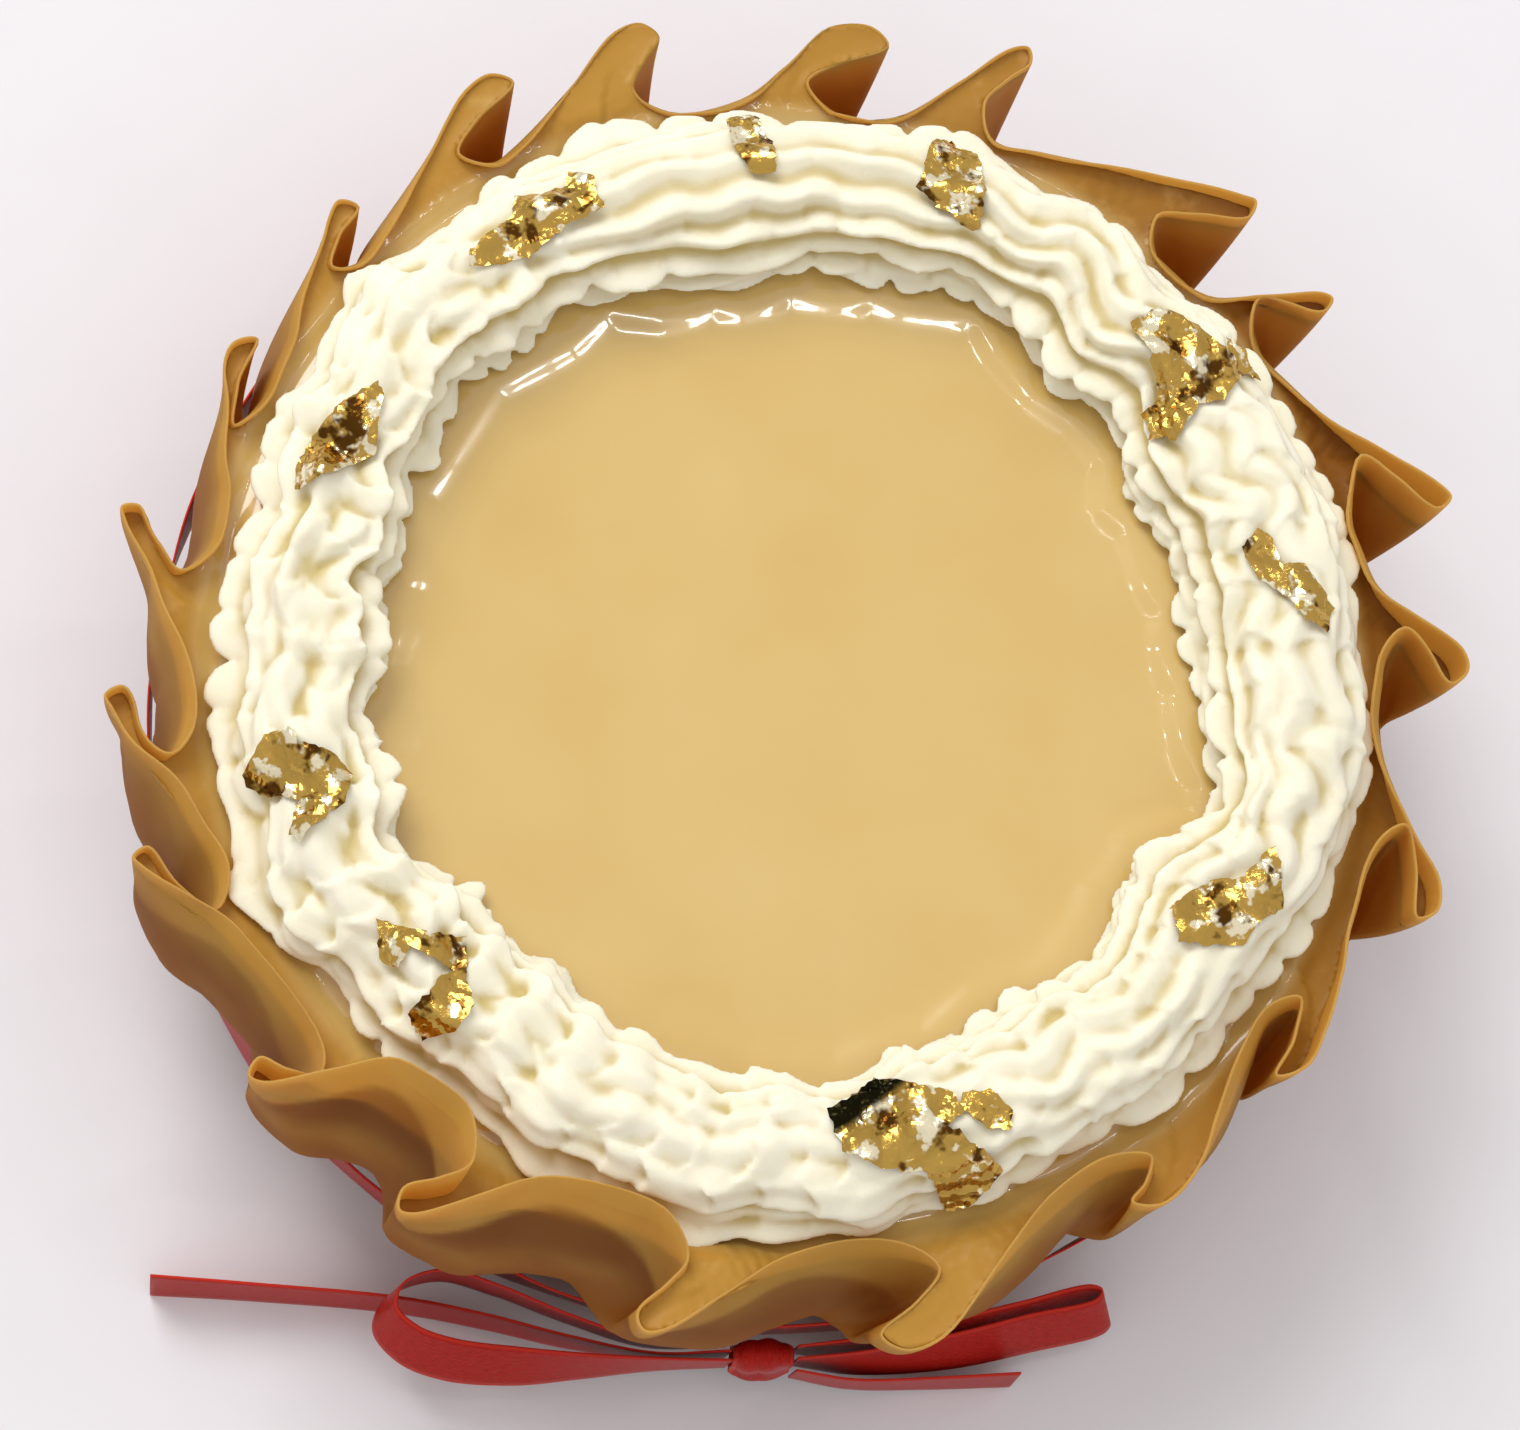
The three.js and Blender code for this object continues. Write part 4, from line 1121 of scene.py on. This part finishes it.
# %% Where each scrap lies, and its corners
# The place of each scrap in mm from the cake's middle, and its corners from there, in order.
leaf_scraps = (
    (1, (-39.5, 62.9), ((-9.9, -6.7), (-7.2, -3.3), (-3.6, -0.3), (-3.2, 3.4), (0.7, 3.0),
                        (4.1, 5.4), (4.8, 7.6), (8.4, 6.7), (8.4, 4.0), (9.9, 1.4), (4.8, -1.3),
                        (-1.0, -6.3), (-4.8, -7.7), (-9.6, -8.4))),
    (2, (-7.5, 77.2), ((-3.0, 4.9), (-1.1, 5.9), (1.6, 5.1), (1.3, 1.6), (3.3, -1.6),
                       (3.1, -6.3), (0.4, -6.5), (-2.1, -3.5), (-3.6, 0.3))),
    (3, (22.5, 72.3), ((1.4, 8.9), (4.1, 6.7), (4.8, 0.3), (4.0, -8.4), (1.2, -7.9),
                       (-2.6, -4.5), (-5.6, -2.1), (-4.1, 1.8), (-3.2, 5.3))),
    (4, (56.5, 42.6), ((-7.7, 7.6), (-3.1, 10.2), (2.1, 8.4), (6.6, 5.2), (10.3, 1.4),
                       (6.4, -3.5), (2.6, -4.4), (-0.5, -10.0), (-4.3, -9.4), (-5.0, -5.5),
                       (-2.7, -3.1), (-4.8, 3.1))),
    (5, (72.2, 11.6), ((-7.2, 4.5), (-4.6, 7.7), (-2.4, 6.2), (-0.8, 2.1), (2.2, 2.6),
                       (4.5, -1.2), (6.7, -4.1), (5.2, -8.4), (1.8, -6.6), (-0.9, -2.4),
                       (-4.5, -0.3))),
    (6, (62.1, -37.4), ((-8.9, -0.8), (-6.2, 1.4), (-2.5, 3.3), (1.9, 3.9), (6.5, 8.9),
                        (7.6, 4.8), (8.1, -0.3), (4.0, -2.7), (1.7, -6.4), (-4.2, -6.3),
                        (-7.9, -5.9))),
    (7, (16.1, -72.1), ((-12.8, 3.7), (-9.7, 5.2), (-5.4, 8.8), (-0.4, 7.5), (5.3, 6.3),
                        (6.7, 3.4), (4.5, 1.3), (10.2, -2.2), (13.3, -4.2), (9.4, -8.5),
                        (5.9, -9.0), (1.6, -5.2), (-5.5, -4.6), (-10.4, -2.6))),
    (8, (-53.0, -50.1), ((-7.4, 7.1), (-0.1, 5.2), (5.2, 5.1), (5.6, -1.1), (6.3, -5.3),
                         (3.7, -8.9), (-0.5, -9.7), (-2.9, -6.2), (1.4, -1.6), (3.6, 0.2),
                         (-2.8, 3.0), (-4.2, 0.1), (-7.0, 1.4))),
    (9, (-72.2, -23.8), ((-7.6, 1.8), (-4.7, 7.0), (-1.2, 7.5), (0.2, 5.4), (5.2, 4.7),
                         (7.7, 1.6), (6.8, -2.8), (3.4, -5.8), (0.6, -8.5), (-1.1, -7.4),
                         (0.5, -2.3), (-3.1, -1.0), (-6.6, -0.1))),
    (10, (-66.9, 27.8), ((4.6, 8.5), (5.8, 6.4), (4.9, 3.3), (4.9, -2.1), (2.3, -3.4),
                         (-1.2, -5.8), (-5.1, -7.2), (-6.8, -7.4), (-6.7, -3.8), (-4.3, 0.5),
                         (-0.6, 4.6))),
)
# Small torn bits beside scraps 4 and 7.
leaf_bits = (
    ((67.0, 47.0), ((-2.3, 3.2), (-0.5, 1.3), (1.1, 2.9), (1.1, -0.2), (3.3, -2.8),
                    (0.0, -2.9), (-2.7, -1.5))),
    ((26.0, -68.3), ((-3.2, 2.3), (0.4, 2.9), (3.9, -0.1), (3.2, -3.0), (-0.4, -2.4),
                     (-3.9, 0.4))),
)
print(sum(len(corners) for _, _, corners in leaf_scraps), "corners drawn for the scraps")


# %% How leaf tears, crumples and clings
def folded_waves(points, size, seed, count=5):
    """Crumple about `size` mm across, with crests as sharp as creased foil, from 0 to 1."""
    random = np.random.default_rng(seed)
    total = 0.0
    for _ in range(count):
        turn = random.uniform(0, np.pi)
        direction = np.array([np.cos(turn), np.sin(turn)]) / (size * random.uniform(0.7, 1.6))
        total = total + np.abs((points @ direction + random.uniform(0, 2)) % 2 - 1)
    return total / count


def ragged(corners, seed):
    """The corners' outline with a torn edge: short steps that wander by a few tenths."""
    random = np.random.default_rng(seed)
    edge = []
    for (x0, y0), (x1, y1) in zip(corners, np.roll(corners, -1, axis=0)):
        steps = max(int(math.hypot(x1 - x0, y1 - y0) / 0.7), 1)
        for k in range(steps):
            edge.append((x0 + (x1 - x0) * k / steps, y0 + (y1 - y0) * k / steps))
    edge = np.array(edge)
    return edge + random.normal(scale=0.16, size=edge.shape)


cream_tree = BVHTree.FromPolygons([v.co.copy() for v in fused.vertices],
                                  [tuple(p.vertices) for p in fused.polygons])


def drape(points, gap):
    """Heights in mm a little above the cream under the points."""
    found = []
    for x, y in points:
        hit, *_ = cream_tree.ray_cast(Vector((x * MM, y * MM, 0.2)), Vector((0, 0, -1)))
        found.append(hit.z / MM if hit else cream_foot)
    return np.array(found) + gap


# %% Laying the leaf
leaf_spacing = 0.45
leaf_film = 0.06                  # real leaf is 0.0001 mm; this much keeps its two faces apart
bridged = 1.6                     # how wide a hollow in the cream it bridges
crumple_sinks = 0.75              # the crumple's middle, so that it goes up and down from there
leaf_finish = beaten_gold_leaf()
dark_scrap = 7                    # the one with an end painted near black, which lies towards its upper left
dark_side = (-0.62, 0.78)
dark_from, dark_to = 6.2, 7.4


def outer_edges(faces):
    """The edges that only one face has, going round the way that face does."""
    loose = set()
    for face in faces:
        for a, b in zip(face, face[1:] + face[:1]):
            loose ^= {(a, b)} if (b, a) not in loose else {(b, a)}
    return sorted(loose)


def lay_leaf(name, middle, corners, seed, rise=0.35):
    """One scrap of leaf laid on the cream, crumpled, with both its faces."""
    edge = ragged(np.array(corners, float), seed) + middle
    low, high = edge.min(axis=0), edge.max(axis=0)
    random = np.random.default_rng(seed + 50)
    x, y = np.meshgrid(*(np.arange(start, end, leaf_spacing) for start, end in zip(low, high)))
    inner = np.column_stack([x.ravel(), y.ravel()])
    inner += random.uniform(-0.15, 0.15, inner.shape)
    inner = inner[inside_outline(inner, edge)]
    inner = inner[nearest(inner, edge)[1] > 0.25]
    spots, faces = fill_outline(edge, inner)
    crumple = 1.9 * folded_waves(spots, 4.2, seed, 4) + 0.6 * folded_waves(spots, 2.0, seed + 1)
    ground = drape(spots, rise)
    # the leaf bridges hollows: it is held up by the highest cream near each spot
    held_up = np.array([ground[np.hypot(*(spots - spot).T) < bridged].max() for spot in spots])
    height = np.maximum(ground, mix(ground, held_up, 0.6)) + crumple - crumple_sinks
    height = np.maximum(height, ground)
    upper = np.column_stack([spots, height])
    lower = upper - (0, 0, leaf_film)
    n = len(spots)
    shell = faces + [tuple(n + i for i in reversed(face)) for face in faces]
    shell += [(b, a, n + a, n + b) for a, b in outer_edges(faces)]
    piece = make_piece(name, np.vstack([upper, lower]), shell, leaf_finish, smooth=False)
    face_outward(piece)
    return piece, spots - middle


for number, middle, corners in leaf_scraps:
    scrap, spots = lay_leaf(f"gold_scrap_{number}", middle, corners, 20 + number)
    if number == dark_scrap:
        mark_points(scrap, "dark_end", np.tile(ease(spots @ dark_side, dark_from, dark_to), 2))
    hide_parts(f"gold_leaf_{number}")
for k, (middle, corners) in enumerate(leaf_bits):
    lay_leaf(f"gold_bit_{k + 1}", middle, corners, 40 + k, 0.5)
print(len(leaf_scraps) + len(leaf_bits), "scraps of gold leaf")

# %% [markdown]
# ## The ribbon
# A red satin ribbon, 10 mm wide, holds the paper at its waist and is tied in a bow at the front.
# Ribbon can't stretch, so each length is a strip that stands on its edge along a line, and each
# point of that line says how far the strip leans out there. A cloth simulation could tie the bow,
# but it wouldn't fall as this one does. The strip gets its measured length in its UVs, in metres,
# so that the satin's threads run true round every bend.
#
# The finish: woven satin, where long floating threads lie side by side and give a soft sheen along the
# ribbon. The warp has about 20 threads a millimetre. They are drawn six times as coarse, at 0.3 mm, so
# that they show, with floats of 1.1 mm, and the selvedges are a little paler. The floats bump the
# surface and are also painted from dark to bright red, a painted sheen of glints along the ribbon.

# %% Finish: woven satin ribbon
def woven_satin_ribbon():
    material, tree, place = start_material("woven_satin_ribbon")
    strip = add_node(tree, "ShaderNodeSeparateXYZ", {}, {0: place.outputs["UV"]})
    drawn_threads = 3300.0            # in a metre of width
    across = add_node(tree, "ShaderNodeMath", {"operation": "MULTIPLY"}, {
        0: strip.outputs["Y"], 1: drawn_threads * 2 * math.pi})
    warp = add_node(tree, "ShaderNodeMath", {"operation": "SINE"}, {0: across.outputs["Value"]})
    floats = add_node(tree, "ShaderNodeMapping", {}, {
        "Vector": place.outputs["UV"], "Scale": (per_metre(1.111), drawn_threads, 1.0)})
    floats_and_painted_glints = add_node(tree, "ShaderNodeTexNoise", {}, {
        "Vector": floats.outputs["Vector"], "Scale": 1.0, "Detail": 2.0})
    edge = add_node(tree, "ShaderNodeMath", {"operation": "PINGPONG"}, {
        0: strip.outputs["Y"], 1: ribbon_width * MM / 2})
    selvedge = add_node(tree, "ShaderNodeMapRange", {"interpolation_type": "SMOOTHSTEP"}, {
        "Value": edge.outputs["Value"], "From Min": 0.0003, "From Max": 0.0009,
        "To Min": 1.0, "To Max": 0.0})
    # Painted glints: the floats are painted from dark red to bright red.
    colour = add_node(tree, "ShaderNodeMix", {"data_type": "RGBA"}, {
        0: floats_and_painted_glints.outputs["Fac"], 6: linear("#7a100e"), 7: linear("#cc2c22")})
    colour = add_node(tree, "ShaderNodeMix", {"data_type": "RGBA"}, {
        0: selvedge.outputs["Result"], 6: colour.outputs[2], 7: linear("#c8362a")})
    height = add_node(tree, "ShaderNodeMath", {"operation": "MULTIPLY_ADD"}, {
        0: warp.outputs["Value"], 1: 0.25, 2: floats_and_painted_glints.outputs["Fac"]})
    bump = add_node(tree, "ShaderNodeBump", {}, {
        "Height": height.outputs["Value"], "Strength": 0.35, "Distance": 0.0002})
    shader = add_node(tree, "ShaderNodeBsdfPrincipled", {}, {
        "Base Color": colour.outputs[2], "Roughness": 0.3, "IOR": 1.53,
        "Specular IOR Level": 0.14, "Specular Tint": linear("#ff8070"),
        "Normal": bump.outputs["Normal"]})
    add_node(tree, "ShaderNodeOutputMaterial", {}, {"Surface": shader.outputs["BSDF"]})
    return material


# %% A strip of ribbon with its true length
ribbon_width = 10.0
ribbon_thickness = 0.35
satin = woven_satin_ribbon()


def ribbon_strip(name, lower_edge, upper_edge, closed=False, across_steps=8):
    """A strip between two edges: rows of points in mm. Returns the piece and its length in mm."""
    middle = (lower_edge + upper_edge) / 2
    steps = np.linalg.norm(np.diff(middle, axis=0), axis=1)
    if closed:
        steps = np.append(steps, np.linalg.norm(middle[0] - middle[-1]))
    measured = np.concatenate([[0], np.cumsum(steps)])
    share = np.linspace(0, 1, across_steps + 1)[None, :, None]
    face = mix(lower_edge[:, None], upper_edge[:, None], share)
    run = np.gradient(face, axis=0)
    if closed:
        run = np.roll(face, -1, axis=0) - np.roll(face, 1, axis=0)
    side = unit(np.cross(run, (upper_edge - lower_edge)[:, None]))
    half = ribbon_thickness / 2
    section = np.concatenate([face + half * side, (face - half * side)[:, ::-1]], axis=1)
    count, wide = section.shape[:2]
    faces = grid_faces(count, wide, closed, True)
    if not closed:
        faces += [tuple(range(wide)), tuple((count - 1) * wide + i for i in reversed(range(wide)))]
    piece = make_piece(name, section, faces, satin)
    uv = piece.data.uv_layers.new(name="strip")
    there = np.linspace(0, 1, across_steps + 1)
    strip_across = np.concatenate([there, there[::-1]]) * ribbon_width
    for polygon in piece.data.polygons:
        rows_here = [piece.data.loops[i].vertex_index // wide for i in polygon.loop_indices]
        wraps = closed and max(rows_here) - min(rows_here) > 1
        for loop in polygon.loop_indices:
            row, column = divmod(piece.data.loops[loop].vertex_index, wide)
            along = measured[row] if not (wraps and row == 0) else measured[-1]
            uv.data[loop].uv = (along * MM, strip_across[column] * MM)
    face_outward(piece)
    return piece, float(measured[-1])


def declare_ribbon(piece, length):
    """Prints the piece's name and how long it is when laid flat, mm."""
    print(piece.name, round(length, 1), "mm long")


# %% The band round the waist
band_middle = (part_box("ribbon_band")[0][2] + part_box("ribbon_band")[1][2]) / 2 / MM
band_radius = waist_crest + 1.6
deepest_chord = 0.995             # over a wide gap the paper behind holds the band out
band_reach = (0, 0, ribbon_width / 2)
band_steps = 16                   # between two tips
band_line = []
for fold, after in zip(folds, folds[1:] + folds[:1]):
    half = ((after["tip"] - fold["tip"]) % 360) / 2
    for k in range(band_steps):
        past = 2 * half * k / band_steps
        chord = math.cos(math.radians(half)) / math.cos(math.radians(past - half))
        out = band_radius * max(chord, deepest_chord)
        band_line.append(polar(fold["tip"] + past, out, band_middle))
band_line = np.array(band_line)
band_line = (np.roll(band_line, 1, axis=0) + 2 * band_line + np.roll(band_line, -1, axis=0)) / 4
tilt = 0.35 * ripples(band_line, 30, 60)[:, None] * (1, 1, 0) * band_line / band_radius
lower_edge = band_line - band_reach - tilt
upper_edge = band_line + band_reach + tilt
band, length = ribbon_strip("satin_band", lower_edge, upper_edge, closed=True)
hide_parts("ribbon_band")
declare_ribbon(band, length)

# %% [markdown]
# The bow has two loops and two tails. On a real bow they are one ribbon that goes through the knot.
# Nobody can see inside the knot, so here each length ends in it.

# %% The bow
# For each length: how it is held, into how many steps it is cut, and its middle line. Each point of
# that has its place in mm, how far the upper edge leans from upright there, and towards which
# compass angle, both in degrees.
bow_lengths = {
    "bow_loop_left": ("folded", 180, (
        (-3.6, -95.6, 13.0, 0, 0), (-16, -95.8, 13.2, 0, 0), (-28, -92.4, 13.8, 0, 0),
        (-39, -88.4, 14.6, 2, 30), (-47.5, -86.4, 15.4, 6, 60), (-54.2, -88.9, 15.8, 14, 60),
        (-55.6, -93.0, 15.8, 24, 50), (-52.3, -96.6, 15.2, 30, 30), (-46, -98.8, 14.2, 32, 15),
        (-36, -99.6, 13.4, 28, 5), (-26, -99.4, 13.0, 16, 0), (-15, -98.9, 12.8, 5, 0),
        (-3.6, -98.6, 12.8, 0, 0))),
    "bow_tail_left": ("laid", 120, (
        (-3.6, -97.1, 12.0, 0, 0), (-15, -97.5, 11.0, 0, 0), (-28, -95.2, 8.6, 4, 0),
        (-40, -92.2, 6.4, 6, 0), (-53, -89.8, 5.2, 7, 0), (-75, -88.2, 5.2, 8, 0),
        (-90.6, -87.4, 5.2, 10, 0))),
    "bow_loop_right": ("folded", 180, (
        (6.4, -96.4, 13.4, 0, 0), (16, -96.2, 13.2, 14, -5), (30, -94.0, 12.6, 26, -15),
        (42, -91.2, 11.8, 30, -20), (53.4, -88.2, 11.0, 30, -34), (55.0, -88.8, 11.0, 30, -36),
        (54.2, -90.2, 11.0, 30, -34), (42.8, -93.2, 11.6, 30, -20), (30.6, -96.2, 12.4, 26, -15),
        (16.4, -98.2, 13.0, 14, -5), (6.4, -98.2, 13.0, 0, 0))),
    "bow_tail_right": ("laid", 80, (
        (6.4, -99.8, 11.0, 0, 0), (16, -100.9, 7.8, 2, 0), (28.3, -100.4, 5.6, 4, 0),
        (41.8, -99.6, 5.3, 6, 0))),
}
for node, (held, steps, places) in bow_lengths.items():
    line = np.array(places, float)
    lean = np.radians(line[:, 3])
    upright = polar(line[:, 4], np.sin(lean), np.cos(lean))
    along = np.linspace(0, 1, steps + 1)
    middle = smooth_curve(line[:, :3], False)(along)
    upward = unit(smooth_curve(line[:, :3] + upright, False)(along) - middle)
    reach = ribbon_width / 2
    strip, length = ribbon_strip("satin_" + node, middle - reach * upward, middle + reach * upward)
    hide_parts(node)
    declare_ribbon(strip, length)

# %% [markdown]
# The knot is the same ribbon wrapped once round the middle. It is drawn in to pleats that run
# round it, it is thinner at both ends, and its lower edge is pulled out to a point. A tube of
# points that swells and creases shows all of that. A second wall inside closes it.

# %% The knot
knot = {"x": 1.4, "y": -97.5, "z": 12.9, "long": 4.6, "deep": 2.5, "high": 4.8, "droop": 2.8}
knot_along = 41                   # rings of points
knot_around = 72                  # points on a ring
knot_wall = 0.45                  # a little more than the ribbon's thickness
share = np.linspace(-1, 1, knot_along)[:, None]
turn = np.arange(knot_around)[None, :] / knot_around * 2 * np.pi
full = np.sqrt(1 - 0.6 * share ** 2)
pleat = 1 + 0.12 * np.abs(np.sin(1.3 * np.pi * share + 0.7 * np.sin(turn) + 0.4)) - 0.06
crease = 0.5 * np.sin(3 * turn + 2.5 * share)
drop = knot["droop"] * full * np.maximum(0, -np.sin(turn)) ** 4
rings = []
for inset in (0, knot_wall):
    wide = full * pleat
    rings.append(np.stack(np.broadcast_arrays(
        knot["x"] + share * knot["long"],
        knot["y"] + wide * (knot["deep"] - inset + 0.3 * crease) * np.cos(turn) - drop,
        knot["z"] + wide * (knot["high"] - inset) * np.sin(turn) - 0.7 * drop), -1))
shell = np.concatenate([rings[0], rings[1][::-1]])
knot_faces = grid_faces(2 * knot_along, knot_around, True, True)
wrap = make_piece("satin_knot", shell, knot_faces, satin)
face_outward(wrap)
uv = wrap.data.uv_layers.new(name="strip")
wrap_length = 2 * math.pi * math.sqrt((knot["deep"] ** 2 + knot["high"] ** 2) / 2)
for polygon in wrap.data.polygons:
    columns_here = [wrap.data.loops[i].vertex_index % knot_around for i in polygon.loop_indices]
    wraps = max(columns_here) - min(columns_here) > 1
    for loop in polygon.loop_indices:
        row, column = divmod(wrap.data.loops[loop].vertex_index, knot_around)
        row = min(row, 2 * knot_along - 1 - row)
        column = knot_around if wraps and column == 0 else column
        uv.data[loop].uv = (column / knot_around * wrap_length * MM,
                            row / (knot_along - 1) * ribbon_width * MM)
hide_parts("ribbon_knot")
declare_ribbon(wrap, wrap_length)

# %% [markdown]
# ## The cheesecake
# The crumb hides behind the paper and under the caramel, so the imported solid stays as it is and
# only gets its finish: baked cream cheese, set and matt, its crust browned in patches of 14 mm.

# %% Finish: baked cheesecake
def baked_cheesecake():
    material, tree, place = start_material("baked_cheesecake_crust")
    scorch = add_node(tree, "ShaderNodeTexNoise", {}, {
        "Vector": place.outputs["Object"], "Scale": per_metre(14.29), "Detail": 5.0})
    colour = add_node(tree, "ShaderNodeMix", {"data_type": "RGBA"}, {
        0: scorch.outputs["Fac"], 6: linear("#b9772f"), 7: linear("#ecc983")})
    bump = add_node(tree, "ShaderNodeBump", {}, {
        "Height": scorch.outputs["Fac"], "Strength": 0.4, "Distance": 0.0008})
    shader = add_node(tree, "ShaderNodeBsdfPrincipled", {}, {
        "Base Color": colour.outputs[2], "Roughness": 0.6, "Normal": bump.outputs["Normal"]})
    add_node(tree, "ShaderNodeOutputMaterial", {}, {"Surface": shader.outputs["BSDF"]})
    return material


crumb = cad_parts["cheesecake"]
crumb.material_slots[0].material = baked_cheesecake()
print("cheesecake keeps its packed solid")

# %% [markdown]
# ## Table and light
# The cake stands on a plain pale table: smooth card, matt, with faint clouds of 17 mm in it.

# %% Table
def pale_card():
    material, tree, place = start_material("pale_matt_card")
    fibre = add_node(tree, "ShaderNodeTexNoise", {}, {
        "Vector": place.outputs["Object"], "Scale": per_metre(16.67), "Detail": 4.0})
    colour = add_node(tree, "ShaderNodeMix", {"data_type": "RGBA"}, {
        0: fibre.outputs["Fac"], 6: linear("#e4e2e5"), 7: linear("#e8e6e9")})
    shader = add_node(tree, "ShaderNodeBsdfPrincipled", {}, {
        "Base Color": colour.outputs[2], "Roughness": 0.8})
    add_node(tree, "ShaderNodeOutputMaterial", {}, {"Surface": shader.outputs["BSDF"]})
    return material


table_half = 3.0                  # metres
table = bpy.data.meshes.new("table_top")
table.from_pydata([(-table_half, -table_half, 0), (table_half, -table_half, 0),
                   (table_half, table_half, 0), (-table_half, table_half, 0)], [], [(0, 1, 2, 3)])
table.materials.append(pale_card())
table_top = bpy.data.objects.new("table_top", table)
bpy.context.scene.collection.objects.link(table_top)
print("table", 2 * table_half, "m wide")

# %% [markdown]
# A large soft lamp over the back left gives the soft shade of a bright room, whose ceiling is
# brighter than its walls. The flat caramel mirrors one spot of that ceiling to the camera. So strip
# lamps hang in an arc a little beside that spot, and each draws a thin white line where the
# caramel's edge is tilted by half as much. Long strips draw long lines.

# %% Lamps
lit_point = Vector((0, 0, 0.05))


def hang_lamp(name, place, size, power):
    """A soft lamp, as wide and high as `size` says, that looks at the cake."""
    data = bpy.data.lights.new(name, "AREA")
    data.shape = "RECTANGLE"
    data.size, data.size_y = size
    data.energy = power
    lamp = bpy.data.objects.new(name, data)
    lamp.location = place
    lamp.rotation_euler = (lit_point - Vector(place)).to_track_quat("-Z", "Y").to_euler()
    bpy.context.scene.collection.objects.link(lamp)
    return lamp


hang_lamp("soft_key", (-0.85, 1.45, 1.95), (1.3, 1.3), 36)
mirrored = Vector((-toward_camera.x, -toward_camera.y, toward_camera.z))
strip_away = 1.3                  # metres from the cake
strip_wide = 0.02
strip_power = 2.0                 # watts for each metre of length
beside = math.radians(13)
# For each strip: to which compass angle it lies beside the mirrored spot, and its length in metres.
strips = ((126, 0.087), (153, 0.046), (169, 0.080), (197, 0.110), (218, 0.014), (234, 0.014),
          (253, 0.016), (281, 0.018))
for k, (tilted_to, long) in enumerate(strips):
    outward_turn = Vector(polar(tilted_to, 1.0, 0.0).tolist())
    outward_turn = (outward_turn - outward_turn.dot(mirrored) * mirrored).normalized()
    spot = mirrored * math.cos(beside) + outward_turn * math.sin(beside)
    strip = hang_lamp(f"strip_lamp_{k + 1}", spot * strip_away, (long, strip_wide), strip_power * long)
    facing = -spot
    long_side = facing.cross(outward_turn).normalized()
    strip.matrix_world = Matrix((long_side, long_side.cross(facing), -facing)).transposed().to_4x4()
    strip.location = spot * strip_away
print("one soft lamp and", len(strips), "strips")

# %% The bright room
world = bpy.data.worlds.new("bright_room")
world.use_nodes = True
room = world.node_tree
direction = add_node(room, "ShaderNodeTexCoord")
upward_part = add_node(room, "ShaderNodeSeparateXYZ", {}, {0: direction.outputs["Generated"]})
ceiling = add_node(room, "ShaderNodeMapRange", {}, {
    "Value": upward_part.outputs["Z"], "From Min": 0.0, "From Max": 0.9,
    "To Min": 0.60, "To Max": 0.79})
room.nodes["Background"].inputs["Color"].default_value = linear("#fdfafa")
room.links.new(ceiling.outputs["Result"], room.nodes["Background"].inputs["Strength"])
bpy.context.scene.world = world
bpy.context.scene.view_settings.view_transform = "Standard"
print("world:", world.name)
